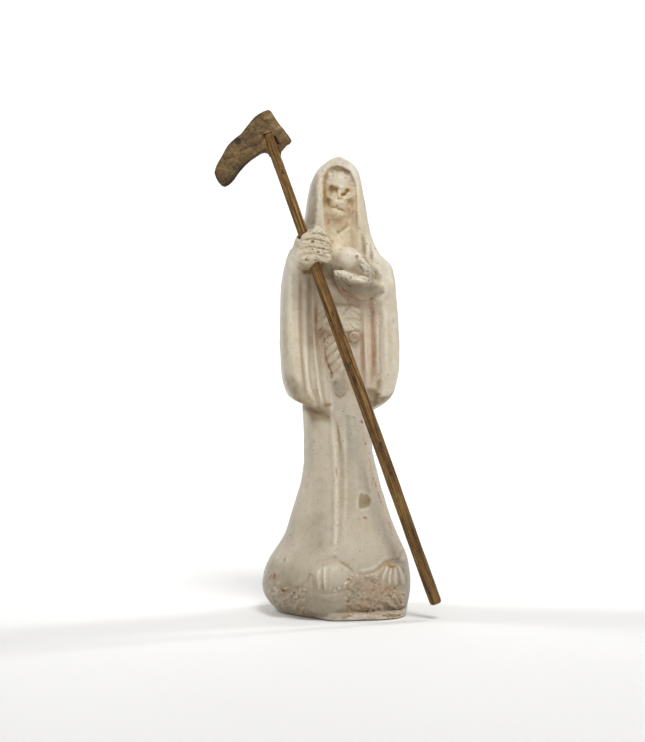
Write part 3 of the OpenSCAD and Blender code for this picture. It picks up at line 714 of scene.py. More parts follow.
# mantle beside the neck and over the viewer's right shoulder
H.line([(361.4, 233), (363, 242), (364.2, 256)], 2.0, -0.95)
H.line([(366.2, 234), (366.8, 246), (366.8, 260)], 1.4, 0.55)
H.line([(370.2, 242), (371.2, 252), (370.8, 263)], 1.4, -0.7)
H.line([(374.4, 252), (375.4, 262)], 1.6, 0.3)
H.line([(371.6, 263.3), (378, 264), (384.4, 266.6)], 0.5, -0.25)
H.line([(357.6, 182), (358.6, 200), (360, 220), (361.4, 230)], 1.4, 0.3)
H.line([(320.4, 174), (319.4, 194), (319.8, 220)], 1.9, 0.4)
H.spot(322.4, 171.6, 1.8, 1.4, -0.5)
H.line([(316.4, 226), (313, 231), (310.5, 236)], 1.8, 0.5)
# face
H.gain, H.wide = 1.0, 1.0
H.spot(333.4, 190.0, 3.9, 3.4, -1.35)
H.spot(335.8, 188.6, 1.6, 1.6, -0.5)
H.spot(330.4, 190.6, 1.4, 1.4, -0.35)
H.spot(332.8, 191.6, 1.7, 1.5, 0.6)
H.spot(347.2, 190.6, 2.3, 2.2, -1.15)
H.spot(343.6, 194.6, 2.3, 1.9, -1.05)
H.spot(345.4, 192.8, 1.3, 1.1, 0.15)
H.line([(328.4, 186.0), (333, 184.2), (337.6, 185.2), (341.4, 187.4), (345.4, 186.4), (349.4, 185.8)], 1.7, 0.22)
H.line([(339.2, 190), (339.4, 194), (338.6, 197.6)], 1.6, 0.55)
H.spot(338.6, 198.9, 1.2, 1.0, -0.45)
H.spot(341.8, 198.7, 1.1, 0.9, -0.4)
H.spot(334.6, 201.8, 2.6, 1.8, 0.3)
H.spot(343.4, 202.4, 2.6, 1.8, 0.3)
H.spot(337.4, 204.2, 5.2, 1.8, 0.35)
H.line([(329.4, 207.4), (333, 207.4), (337.8, 208.9), (344.8, 210.7)], 1.2, -0.36, 0.12)
H.line([(330.4, 210.4), (336, 211.6), (343, 212.8)], 1.3, 0.22)
H.spot(336.7, 206.1, 1.2, 1.0, -0.6)
H.spot(327.6, 202.8, 3.4, 4.4, -1.0)
H.spot(350.4, 202.4, 3.4, 5.0, -1.1)
H.line([(332.4, 197.4), (329.4, 198.0), (326.6, 197.2)], 1.2, 0.5)
H.line([(343.6, 199.0), (347.6, 198.2), (351.6, 196.4)], 1.3, 0.45)
H.spot(336.6, 214.4, 6.0, 2.8, 0.5)
H.line([(347.6, 207), (348.4, 214), (347.0, 221)], 1.5, -0.5)
H.line([(351.6, 209), (352.6, 216), (352.6, 224)], 1.6, 0.25)
_r = np.random.default_rng(77)
for _ in range(120):
    H.spot(_r.uniform(324, 356), _r.uniform(170, 224), _r.uniform(0.6, 1.3), _r.uniform(0.6, 1.2), _r.choice([-0.17, 0.17]))
for x, y, r, a in [(346.6, 177.6, 1.3, -0.2), (351.4, 181.4, 1.3, -0.25), (349.6, 185.6, 1.0, -0.3), (353.2, 186.6, 0.9, -0.3), (332, 172.4, 1.6, -0.3),
                   (327.6, 178, 1.4, -0.35), (337.6, 171, 1.8, -0.25), (345.6, 172, 1.6, -0.25), (329.4, 204, 1.1, 0.3), (351.8, 192.6, 1.2, -0.25), (330.4, 216.6, 1.3, -0.3),
                   (333.6, 218.6, 1.1, -0.3), (344.6, 217, 1.4, -0.25), (349.6, 198.4, 1.1, 0.25), (341.4, 187.6, 1.2, 0.2)]:
    H.spot(x, y, r, r, a)
# neck and chest
H.gain, H.wide = 0.8, 1.2
H.line([(349.4, 224.4), (344.4, 228.6), (338.8, 233)], 1.0, -0.6)
H.line([(350.6, 227.4), (345, 232), (341, 237)], 1.2, 0.35)
H.line([(328.4, 226), (333, 231), (337, 235)], 1.4, 0.3)
H.spot(338.3, 232.6, 1.2, 1.8, -0.8)
H.spot(340, 249.6, 1.5, 1.1, -0.4)
H.spot(340, 242, 6.5, 7, 0.7)
H.line([(350.6, 230), (352.4, 242), (353.2, 252)], 2.0, -0.7)
H.spot(326.6, 219, 2.4, 8, -0.6)
# fist
H.gain, H.wide = 1.1, 1.0
for pts, w, a in [([(303.6, 240.2), (310, 239.0), (317, 239.6), (324, 241.4), (330, 243.2)], 1.0, -0.62), ([(302.4, 247.6), (310, 246.8), (318, 248.0), (325, 249.6), (331, 251.2)], 1.0, -0.62), ([(311, 234.4), (317, 233.0), (322.4, 234.6), (327.6, 237)], 0.8, -0.4),
                  ([(300.4, 255.2), (308, 253.8), (316, 254.6), (324, 256.4), (331.4, 258)], 1.0, -0.5), ([(304, 236.6), (309, 235.6), (314, 236.4)], 0.9, 0.3),
                  ([(302, 243.8), (308, 243), (313, 243.8)], 0.9, 0.25), ([(298.6, 258.6), (304, 257.6), (311, 257.8), (322, 260.2), (329, 261.6)], 1.0, 0.35)]:
    H.line(pts, w, a)
for x, y, r, d in [(312.5, 241.6, 2.0, 1.1), (312.4, 249.4, 1.6, 0.9), (321.6, 250.6, 1.2, 0.6), (316.4, 259.4, 2.6, 0.8), (306.2, 260, 1.7, 0.8),
                   (320.6, 243.2, 0.8, 0.5), (326.6, 240.4, 0.9, 0.4), (304.6, 251, 0.8, 0.4), (329, 262.6, 1.1, 0.5)]:
    H.pit(x, y, r, d)
for x, y, r, a in [(305, 241.6, 1.4, 0.25), (309, 242.6, 1.1, 0.25), (318, 241, 1.2, 0.2), (324.6, 243.6, 1.4, 0.2), (305, 258, 1.3, 0.3), (311.4, 257.4, 1.3, 0.25),
                   (322.6, 258.4, 1.7, 0.3), (327, 259.6, 1.3, 0.25), (316, 232.4, 1.3, 0.35), (323.6, 234, 1.2, 0.3), (299.6, 256.6, 1.1, 0.25)]:
    H.spot(x, y, r, r, a)
# left hand
for pts, w, a in [([(331.8, 273.4), (335.4, 281), (342.6, 288.2), (352, 294)], 0.95, -0.4), ([(335.4, 274.4), (339.4, 281), (346.6, 287.4), (356, 291.6)], 0.9, -0.36),
                  ([(339.8, 276), (344, 281.4), (350.6, 286)], 0.85, -0.32), ([(344.6, 277.6), (348.6, 281.4), (353.4, 283.6)], 0.8, -0.28),
                  ([(333.6, 274.6), (337.4, 281.4), (344.6, 288)], 0.9, 0.4), ([(337.6, 275.8), (341.8, 281.6), (348.4, 286.8)], 0.9, 0.4),
                  ([(342, 277.6), (346.4, 281.6), (351.4, 284.6)], 0.8, 0.35)]:
    H.line(pts, w, a, 0.15)
for x, y, r, d in [(350.3, 277.8, 1.9, 1.2), (349.6, 285.7, 1.4, 0.8), (371.5, 298, 2.0, 1.4), (337.6, 273.7, 1.5, 0.8), (357.0, 256.6, 1.7, 0.8),
                   (366.4, 297.4, 0.9, 0.5), (382, 293.4, 1.0, 0.4), (366.6, 243.6, 0.9, 0.7), (359, 262, 1.2, 0.6), (365.6, 266.6, 1.0, 0.5), (362.2, 268.8, 1.4, 0.6)]:
    H.pit(x, y, r, d)
for x, y, r, a in [(361.6, 258.6, 1.1, 0.3), (364.6, 262.6, 1.2, 0.3), (368.2, 266, 1.2, 0.3), (370.4, 270.6, 1.2, 0.25), (347, 275, 1.3, 0.25), (355.4, 278.6, 1.4, 0.25), (342, 273.2, 1.2, 0.25)]:
    H.spot(x, y, r, r, a)
H.line([(372.4, 299), (378.6, 296.6), (384.4, 291)], 0.9, -0.6)
_r = np.random.default_rng(31)
for _ in range(34):
    row = _r.integers(0, 4)
    x = _r.uniform(301, 331)
    H.spot(x, (236.6, 244.0, 251.6, 259.4)[row] + 0.1 * (x - 315) + _r.normal(0, 0.8), _r.uniform(1.1, 1.7), _r.uniform(0.9, 1.3), _r.uniform(0.2, 0.42))
for _ in range(190):
    x, y = _r.uniform(300, 333), _r.uniform(229, 263)
    H.spot(x, y, _r.uniform(0.6, 1.0), _r.uniform(0.55, 0.9), _r.choice([-0.34, 0.3]))
for _ in range(60):
    t, q = _r.uniform(0, 1), _r.uniform(-3.6, 3.6)
    H.spot(358 + 13 * t + q, 256 + 22 * t - 0.4 * q, _r.uniform(0.6, 1.2), _r.uniform(0.55, 1.1), _r.choice([-0.26, 0.34]))
for _ in range(70):
    t = _r.uniform(0, 1)
    H.spot(333 + 40 * t, 270 + 13 * t + _r.normal(0, 1.4), _r.uniform(0.6, 1.2), _r.uniform(0.5, 1.0), _r.choice([-0.3, 0.4]))
for _ in range(330):
    t = _r.uniform(0, 1)
    H.spot(_r.uniform(272, 308) if t < 0.4 else _r.uniform(345, 404), _r.uniform(588, 618), _r.uniform(0.7, 1.5), _r.uniform(0.6, 1.2), _r.choice([-0.45, 0.45]))
for _ in range(60):
    x, y = _r.uniform(346, 382), _r.uniform(574, 600)
    a = _r.uniform(0, 3.14)
    H.line([(x, y), (x + 3 * math.cos(a), y + 2.4 * math.sin(a))], 0.8, _r.choice([-0.45, 0.5]))
for _ in range(46):
    x, y = _r.uniform(346, 382), _r.uniform(576, 612)
    a = _r.uniform(0, 3.14)
    H.line([(x, y), (x + 4.5 * math.cos(a), y + 3.2 * math.sin(a))], 1.4, _r.choice([-0.55, 0.6]))
for _ in range(60):
    H.spot(_r.uniform(268, 306), _r.uniform(586, 610), _r.uniform(1.2, 2.2), _r.uniform(1.0, 1.6), _r.choice([-0.4, 0.5]))
# short rubbed streaks on the skirt's folds
for _ in range(46):
    t = _r.uniform(0, 1)
    x, y = 336 + _r.normal(0, 3.2), 425 + 125 * t
    H.line([(x, y), (x + _r.normal(0, 0.5), y + _r.uniform(2, 6))], 0.8, _r.choice([-0.16, 0.22]))
# small scattered pits, seeded
_r = np.random.default_rng(11)
for _ in range(150):
    H.pit(_r.uniform(282, 400), _r.uniform(170, 615), _r.uniform(0.35, 0.7), _r.uniform(0.15, 0.4))
RELIEF = H.a


def soften(a, r):
    for ax in (0, 1):
        for _ in range(2):
            pad = [(0, 0), (0, 0)]
            pad[ax] = (r + 1, r)
            c = np.cumsum(np.pad(a, pad, mode="edge").astype(np.float64), axis=ax)
            n = 2 * r + 1
            a = (c[n:] - c[:-n]) / n if ax == 0 else (c[:, n:] - c[:, :-n]) / n
    return a.astype(F)


# the drawn relief's fine detail, used to paint shade into its valleys and highlights onto its ridges
RELIEF_SHADING = RELIEF - soften(RELIEF, 5)

# ---------------------------------------------------------------- stains, painted shade and painted light drawn on the front
OCHRE, PINK_TINT_AND_SHADE, RED, DARK, PAINTED_LIGHT, OLIVE = (Drawing() for _ in range(6))
OCHRE.line([(327.6, 171), (325.4, 178), (324.8, 188), (324.8, 199)], 2.1, 0.72, 0.1)
OLIVE.line([(327.6, 171), (325.4, 178), (324.8, 188), (324.8, 205)], 2.4, 0.42, 0.1)
OCHRE.line([(335.4, 186.4), (337.2, 189.4), (336.0, 193.4)], 1.1, 0.9, 0.1)
OCHRE.line([(329, 188), (331.6, 186.2), (335, 186.2)], 1.0, 0.7, 0.1)
OCHRE.line([(326.6, 171), (331, 168.4), (337, 167.4), (343, 168.6)], 1.7, 0.55)
OCHRE.spot(333, 188.4, 3.6, 2.8, 0.75)
OCHRE.spot(330.4, 191.6, 2.2, 3.4, 0.5)
OCHRE.line([(341, 196), (344.6, 193.8), (348.4, 189.6)], 1.5, 0.95, 0.1)
OCHRE.line([(338, 199.3), (342.6, 198.9)], 1.0, 0.55)
OCHRE.spot(326.8, 202.8, 2.6, 4.0, 1.0)
OCHRE.line([(330, 207.0), (333.4, 206.8), (336.6, 208.0)], 0.9, 0.5)
OCHRE.line([(337, 208.4), (341, 209.2), (345.8, 210.8)], 1.1, 0.8)
OCHRE.spot(336.7, 206.2, 1.2, 1.0, 0.7)
OCHRE.spot(350, 202.4, 3.2, 3.8, 0.3)
OCHRE.line([(348.6, 219), (344, 228.6), (339, 233)], 1.0, 0.4)
OCHRE.spot(338.3, 232.6, 1.3, 1.7, 0.55)
OCHRE.spot(340, 249.5, 1.6, 1.2, 0.35)
for x, y, r, a in [(312.5, 241.6, 1.5, 0.8), (312.4, 249.4, 1.2, 0.7), (316.4, 259.4, 2.0, 0.55), (306.2, 260, 1.2, 0.5), (357.0, 256.6, 1.4, 0.8),
                   (371.5, 298, 1.6, 1.1), (349.6, 285.7, 1.1, 0.6), (350.3, 277.8, 1.4, 0.5), (293.6, 309.4, 1.2, 0.4), (290.6, 324.6, 0.9, 0.45),
                   (328, 405.4, 2.6, 0.35), (299, 400.6, 2.2, 0.75), (321.8, 326.4, 1.0, 0.6), (355, 329, 0.9, 0.45)]:
    OCHRE.spot(x, y, r, r, a)
OCHRE.line([(316.6, 306), (316.4, 318), (316.6, 327)], 1.4, 0.55)
OCHRE.line([(387.4, 563.4), (390, 566), (394.6, 567), (395.6, 563)], 1.5, 0.95)
OCHRE.line([(378, 570.6), (386, 562.8), (400, 558.6)], 1.4, 0.5)
OCHRE.line([(279.6, 588.6), (285.4, 590.6), (288.4, 589.8)], 1.2, 0.8)
OCHRE.line([(384.6, 616), (394, 616.2), (402, 614.2)], 1.0, 1.0)
OCHRE.line([(366, 617), (372, 618.4), (377, 617)], 1.3, 0.6)
OCHRE.line([(341, 619.4), (350, 615.8)], 0.9, 0.6)
OCHRE.line([(337.6, 428), (339.6, 441), (340.6, 450)], 1.3, 0.5)
OCHRE.line([(350.6, 603), (349, 612), (346, 617)], 2.4, 0.3)
OCHRE.spot(363, 606, 4, 4, 0.3)
OCHRE.spot(300, 604, 4, 5, 0.25)
OCHRE.spot(392, 590, 6, 8, 0.2)
OLIVE.line([(309.8, 571), (308.6, 578), (306.6, 583)], 1.5, 0.9)
OLIVE.line([(339.4, 561.2), (346.6, 565.4), (352.8, 571)], 1.2, 0.9)
OLIVE.spot(296, 243, 3.5, 7, 0.5)
OLIVE.spot(342, 268.6, 2.6, 1.5, 0.7)
OLIVE.spot(327.4, 202.4, 2.9, 3.8, 0.9)
OLIVE.spot(333.4, 190, 3.4, 3.0, 0.5)
OCHRE.spot(347.4, 190.4, 1.7, 1.7, 0.8)
OCHRE.spot(343.4, 194.8, 1.8, 1.4, 0.8)
# painted light on the forehead
PAINTED_LIGHT.area([(331, 177), (340, 175), (348, 178), (348, 185), (340, 187), (332, 184)], 0.5, 3)
OLIVE.line([(327, 171.6), (332, 169), (339, 168.6), (346, 170.6)], 1.6, 0.4)
OLIVE.spot(378.9, 383, 2.0, 6.0, 0.4)
OLIVE.line([(363.6, 245), (364.4, 256)], 1.6, 0.4)
OLIVE.line([(371.4, 250), (371.2, 262)], 1.4, 0.4)
# pink tint; in the recesses, under the chin, the hand, the belt and the sleeve's hem it is painted shade as well
PINK_TINT_AND_SHADE.spot(352, 243, 4.5, 14, 0.35)
PINK_TINT_AND_SHADE.spot(354.4, 215, 3.4, 15, 0.55)
PINK_TINT_AND_SHADE.spot(340, 222, 9, 3.4, 0.7)
PINK_TINT_AND_SHADE.spot(328.4, 219, 3, 7, 0.6)
PINK_TINT_AND_SHADE.spot(352.4, 186, 2.6, 8, 0.45)
PINK_TINT_AND_SHADE.line([(340, 167), (346, 169), (351, 173)], 1.6, 0.6)
PINK_TINT_AND_SHADE.line([(373.4, 302), (373.8, 340), (373, 375)], 2.4, 0.8)
PINK_TINT_AND_SHADE.line([(362.4, 334), (362.8, 360), (364, 380)], 2.0, 0.45)
PINK_TINT_AND_SHADE.line([(331, 277), (337, 286), (347, 294), (358, 298), (368, 302)], 2.6, 0.75)
PINK_TINT_AND_SHADE.spot(335, 268, 3, 5, 0.35)
PINK_TINT_AND_SHADE.spot(322, 331, 6, 3.5, 0.7)
PINK_TINT_AND_SHADE.spot(353.6, 337, 7, 5.4, 0.4)
PINK_TINT_AND_SHADE.line([(301, 270), (301.4, 300), (302, 350)], 2.4, 0.2)
PINK_TINT_AND_SHADE.line([(325, 336), (326, 356), (332, 376)], 1.6, 0.4)
PINK_TINT_AND_SHADE.line([(296, 401), (310, 406), (328, 415)], 2.8, 0.4)
PINK_TINT_AND_SHADE.line([(380, 394), (377, 400)], 3, 0.4)
PINK_TINT_AND_SHADE.line([(361, 421), (367, 452), (375, 484), (384, 511), (391, 532)], 3.2, 0.35)
PINK_TINT_AND_SHADE.spot(395, 552, 7, 12, 0.45)
PINK_TINT_AND_SHADE.spot(372, 588, 12, 14, 0.4)
PINK_TINT_AND_SHADE.spot(366, 610, 22, 9, 0.35)
PINK_TINT_AND_SHADE.line([(336.4, 462), (336.6, 480)], 1.2, 0.3)
for pts, w, a in [([(342.2, 168.8), (345, 170.2), (349.4, 171.8)], 0.9, 0.75), ([(304, 273), (305.4, 273.4)], 1.0, 0.9), ([(315.6, 331), (317, 330)], 0.8, 0.2),
                  ([(319.4, 330.4), (321.6, 329)], 0.9, 0.95), ([(324.9, 335), (324.2, 346)], 0.55, 0.4), ([(325.4, 353), (326, 359), (328.4, 365)], 0.7, 0.7),
                  ([(328.4, 365), (331.2, 371), (331.6, 378)], 0.6, 0.65), ([(373.6, 311), (373.6, 314)], 0.9, 0.6), ([(373.8, 352), (373.6, 366)], 0.8, 0.45),
                  ([(310, 407.4), (311, 409)], 1.0, 1.0), ([(301, 402.6), (307, 404.6)], 0.7, 0.5), ([(319, 408), (319.8, 408.6)], 0.8, 0.7),
                  ([(326.6, 415.6), (328.6, 416.6)], 0.9, 0.8), ([(361.2, 420.6), (361.8, 422.4)], 0.8, 0.8), ([(365.2, 442.6), (365.8, 444.4)], 0.8, 0.8),
                  ([(373.4, 477.6), (374, 480)], 0.7, 0.7), ([(375.2, 483), (376, 486)], 0.7, 0.7), ([(378, 492), (379.6, 498)], 0.8, 0.65),
                  ([(389, 523), (391.2, 528)], 0.8, 0.6), ([(364.2, 517.6), (366, 518.2)], 1.1, 0.95), ([(336.3, 468), (336.8, 475)], 0.7, 0.55),
                  ([(274.8, 574.6), (273.8, 578.4)], 1.0, 1.0), ([(271, 575.4), (269.4, 578.6)], 0.8, 0.6), ([(328.4, 223), (329.6, 220)], 1.4, 0.55),
                  ([(335.6, 214.2), (336.4, 214.4)], 0.8, 0.5), ([(358.8, 227.6), (360, 229)], 0.7, 0.6), ([(374.4, 248.4), (375, 249.4)], 0.8, 0.7),
                  ([(363.2, 269), (363.8, 271)], 0.9, 0.8), ([(367.6, 275), (369, 276)], 0.7, 0.5), ([(338, 286), (344, 290.6)], 0.8, 0.45),
                  ([(341.4, 288), (349, 294), (352, 294.6)], 0.9, 0.5), ([(355, 297), (358, 298.4)], 0.8, 0.4), ([(352.4, 334.8), (353, 335.2)], 0.7, 0.6),
                  ([(327.4, 342.4), (327.8, 343)], 0.7, 0.8), ([(331, 370.6), (331.4, 371)], 0.7, 0.7), ([(375, 597.4), (375.6, 598)], 0.8, 0.6),
                  ([(303, 613), (304.4, 614)], 0.9, 0.6), ([(285, 593.6), (286, 594)], 0.8, 0.5), ([(330.4, 404.2), (331, 404.6)], 0.7, 0.7)]:
    RED.line(pts, w, a, 0.5)
_r = np.random.default_rng(23)
for _ in range(34):
    t = _r.uniform(0, 1)
    x = np.interp(t, [0, 0.3, 0.6, 1], [361.5, 368.6, 377.4, 393]) + _r.normal(0, 0.9)
    RED.spot(x, 420 + 118 * t, _r.uniform(0.35, 0.7), _r.uniform(0.4, 1.0), _r.uniform(0.3, 0.7))
for _ in range(70):
    RED.spot(_r.uniform(333, 360), _r.uniform(425, 545), _r.uniform(0.3, 0.5), _r.uniform(0.3, 0.5), _r.uniform(0.1, 0.4))
for _ in range(26):
    RED.spot(_r.uniform(366, 402), _r.uniform(546, 575), _r.uniform(0.3, 0.6), _r.uniform(0.3, 0.6), _r.uniform(0.2, 0.5))
for _ in range(60):
    RED.spot(_r.uniform(284, 396), _r.uniform(175, 415), _r.uniform(0.3, 0.5), _r.uniform(0.3, 0.5), _r.uniform(0.1, 0.4))
for x, y, rx, ry, a in [(290.2, 535, 1.0, 0.6, 0.9), (284.6, 559.6, 0.8, 1.8, 0.8), (366.6, 243.6, 1.0, 0.9, 0.8), (368.6, 499.8, 0.8, 0.8, 0.7), (364.6, 503, 1.4, 0.6, 0.4),
                        (268.6, 572, 0.7, 0.7, 0.8), (345.6, 178.4, 0.7, 0.7, 0.6), (352.4, 213.4, 0.8, 0.8, 0.8), (333.4, 219.4, 0.9, 0.7, 0.6), (312.8, 185.4, 1.0, 2.4, 0.4),
                        (288.4, 384.6, 0.6, 0.8, 0.6), (289, 394, 0.9, 0.9, 0.4), (342.6, 164.6, 0.7, 0.7, 0.5), (339, 159.4, 1.2, 0.8, 0.4), (393.4, 321, 0.6, 2.4, 0.5),
                        (378, 394.2, 1.4, 0.7, 0.7), (335.4, 556.6, 2.6, 1.0, 0.35), (323.2, 565.4, 1.2, 0.6, 0.5), (303.6, 612.6, 1.4, 0.8, 0.6), (348.6, 415.8, 2.6, 0.7, 0.45), (353.6, 417.4, 1.8, 0.7, 0.45)]:
    DARK.spot(x, y, rx, ry, a)
for _ in range(220):
    DARK.spot(_r.uniform(268, 408), _r.uniform(165, 618), _r.uniform(0.25, 0.5), _r.uniform(0.25, 0.5), _r.uniform(0.15, 0.5))
# brown marks: painted shade in the recesses beside and below the arms, under the left hand and above the belt, between
# the fist and the left hand, beside the face, in the left cheek and under the chin; on the hem, dirt with painted shade
BROWN_DIRT_AND_SHADE, GREY_TONE_AND_SHADE = Drawing(), Drawing()
BROWN_DIRT_AND_SHADE.area([(300, 274), (310, 268), (318, 270), (320, 300), (321, 335), (314, 345), (304, 345), (299.6, 340), (299.4, 300)], 0.45, 5)
BROWN_DIRT_AND_SHADE.area([(369, 300), (376, 300), (376.4, 340), (376, 378), (371, 392), (368, 380), (368, 340)], 0.5, 3)
BROWN_DIRT_AND_SHADE.area([(318, 330), (346, 334), (352, 334), (360, 336), (362, 372), (352, 396), (336, 396), (326, 380), (317, 350)], 0.3, 5)
BROWN_DIRT_AND_SHADE.area([(331, 274), (345, 279), (360, 284), (384, 286), (384, 292), (372, 299), (352, 297), (336, 286)], 0.8, 2)
SHADED_HAND_UNDERSIDE = [(333, 277), (341, 277), (350, 283), (360, 286), (376, 286), (384, 288), (383, 292), (372, 299), (358, 297), (344, 291), (336, 285)]
BROWN_DIRT_AND_SHADE.area([(330, 292), (350, 300), (372, 302), (371, 308), (350, 306), (334, 304)], 0.6, 3)
BROWN_DIRT_AND_SHADE.area([(348, 196), (355, 198), (356, 226), (350, 226), (349, 212)], 0.35, 3)
BROWN_DIRT_AND_SHADE.area([(328, 218), (348, 219), (350, 226), (338, 232), (328, 228)], 0.4, 3)
BROWN_DIRT_AND_SHADE.area([(324, 198), (330, 198), (330, 208), (324, 207)], 0.5, 2)
BROWN_DIRT_AND_SHADE.area([(330, 256), (338, 256), (337, 270), (331, 271)], 0.6, 2)
BROWN_DIRT_AND_SHADE.area([(268, 585), (300, 588), (310, 600), (312, 618), (280, 616), (268, 602)], 0.35, 6)
# grey marks: painted shade with dirt on the hem's lower masses, and painted shade on the hood's side plane, the left
# hand's underside and the right sleeve's outer side; they also make the skirt's left side greyer
GREY_TONE_AND_SHADE.area([(266, 582), (300, 586), (310, 600), (312, 618), (280, 616), (266, 602)], 0.6, 6)
BROWN_DIRT_AND_SHADE.area([(350, 578), (372, 576), (404, 592), (404, 612), (348, 612), (350, 600)], 0.8, 5)
GREY_TONE_AND_SHADE.area([(354, 578), (380, 574), (382, 592), (402, 600), (402, 612), (352, 612), (354, 596)], 0.7, 5)
GREY_TONE_AND_SHADE.area([(303, 214), (304, 196), (308, 182), (315, 171), (318.4, 176), (317.2, 190), (316.6, 210), (314.6, 228), (301, 232)], 1.0, 1.2)
GREY_TONE_AND_SHADE.area(SHADED_HAND_UNDERSIDE, 0.9, 2)
GREY_TONE_AND_SHADE.area([(304, 420), (318, 420), (314, 470), (304, 510), (296, 530), (288, 545), (284, 540), (298, 500)], 0.4, 7)
GREY_TONE_AND_SHADE.area([(280, 280), (287, 270), (286, 330), (287, 385), (283, 380), (280, 330)], 0.6, 3)
GREY_TONE_AND_SHADE.area([(306, 590), (330, 597), (354, 590), (354, 606), (346, 618), (312, 618), (304, 604)], 1.0, 5)
GREY_TONE_AND_SHADE.area([(268, 560), (290, 566), (300, 580), (290, 590), (270, 586)], 0.4, 6)
CHIP, PAINTED_SHADE, WARM = Drawing(), Drawing(), Drawing()
WARM.area([(322, 188), (362, 188), (366, 240), (352, 248), (330, 250), (323, 220)], 1.0, 6)
WARM.area([(316, 300), (362, 300), (362, 330), (316, 330)], 0.45, 7)
WARM.area([(298, 230), (332, 230), (334, 264), (298, 264)], 0.5, 4)
WARM.area([(318, 338), (332, 338), (340, 372), (326, 372)], 0.45, 4)
WARM.area([(298, 196), (306, 176), (316, 172), (316, 226), (300, 230)], 0.5, 3)
WARM.area([(280, 290), (294, 290), (298, 388), (282, 388)], 0.5, 5)
# painted shade: darker colour where shade falls, on the fist and under it, under the hands and the belt, along the
# sleeves' lower edges and outer side, on the hood's side, and on parts of the skirt and hem
PAINTED_SHADE.area([(300, 232), (312, 229), (324, 231), (333, 240), (333, 260), (322, 264), (298, 261), (300, 246)], 0.3, 3)
PAINTED_SHADE.area([(297, 261.5), (303, 263.5), (310, 263.5), (318, 263.5), (332, 264), (335, 274), (330, 280), (318, 276), (311, 274), (303, 272), (298, 268)], 0.9, 1.6)
PAINTED_SHADE.area([(300, 270), (316, 270), (330, 276), (334, 300), (334, 336), (320, 340), (312, 330), (308, 300), (300, 290)], 0.32, 5)
PAINTED_SHADE.area([(331, 271), (338, 280), (346, 288), (356, 293), (352, 299), (340, 293), (331, 284)], 0.45, 2)
PAINTED_SHADE.area([(342, 280.4), (352, 284.4), (364, 283), (371, 277.5), (376, 270), (382, 275), (380, 284), (373, 290), (364, 293), (354, 292), (346, 288)], 0.6, 3)
PAINTED_SHADE.line([(352, 282.6), (362, 284.6), (370, 281)], 2.2, 0.25)
PAINTED_SHADE.area([(366, 262), (373, 263), (378, 272), (372, 280), (368, 274)], 0.4, 3)
PAINTED_SHADE.area([(284, 374), (292, 377), (300, 385), (306, 392), (312, 399), (322, 405), (331, 411), (331, 421), (322, 421), (312, 421), (304, 411), (294, 405), (286, 397), (282, 387)], 0.78, 4)
PAINTED_SHADE.line([(286, 392), (292, 398.4), (300, 403), (310, 409.4), (322, 415)], 2.6, 0.45)
PAINTED_SHADE.area([(366, 388), (374, 389), (380, 396), (390, 396), (395, 390), (396, 404), (384, 412), (368, 414)], 1.0, 2)
PAINTED_SHADE.area([(298, 200), (304, 182), (313, 176), (315, 228), (299, 231)], 0.12, 3)
PAINTED_SHADE.area([(279, 330), (292, 340), (303, 390), (290, 398), (282, 386), (278, 350)], 0.22, 8)
PAINTED_SHADE.area([(340, 450), (352, 450), (357, 500), (347, 520), (340, 500)], 0.2, 5)
PAINTED_SHADE.area([(306, 412), (334, 412), (334, 470), (306, 470)], 0.16, 6)
PAINTED_SHADE.area([(262, 556), (300, 566), (334, 590), (334, 612), (290, 612), (262, 600)], 0.26, 8)
PAINTED_SHADE.area([(392, 552), (410, 552), (410, 606), (398, 606)], 0.3, 5)
PAINTED_SHADE.area([(290, 520), (322, 516), (326, 552), (296, 560), (284, 556)], 0.2, 7)
PAINTED_SHADE.area([(302, 214), (314, 210), (316, 228), (301, 231)], 0.35, 3)
PAINTED_SHADE.area([(317, 340), (332, 329), (345, 333), (360, 334), (360, 346), (342, 342), (326, 340)], 0.2, 3)
CHIP.area(chip, 1.0, 0.7)
# pale marks: painted light on the skirt's ridge, the fist, the belt, the recess beside the right sleeve, the left
# sleeve's inner edge, the torso, the forehead, the chin, the chest, the palm's rim, the hood's rim and the centre mound
PAINTED_LIGHT.line([(336.4, 488), (336.6, 500)], 1.6, 0.5)
PAINTED_LIGHT.area([(299, 240), (308, 230), (322, 231), (332, 240), (333, 256), (326, 262), (302, 259), (296, 252)], 0.15, 3)
PAINTED_LIGHT.area([(317, 306), (360, 306), (360, 329), (340, 330), (318, 326)], 1.0, 2)
PAINTED_LIGHT.area([(306, 348), (328, 348), (333, 398), (314, 400)], 0.4, 5)
PAINTED_LIGHT.area([(374.6, 294), (384, 294), (384, 380), (377, 380), (375, 330)], 0.8, 1.5)
PAINTED_LIGHT.area([(326, 176), (336, 174), (337, 184), (327, 186)], 0.4, 3)
PAINTED_LIGHT.area([(329, 211), (343, 212), (345, 217), (331, 218)], 0.8, 2)
PAINTED_LIGHT.area([(333, 234), (348, 232), (352, 250), (346, 258), (334, 250)], 0.3, 5)
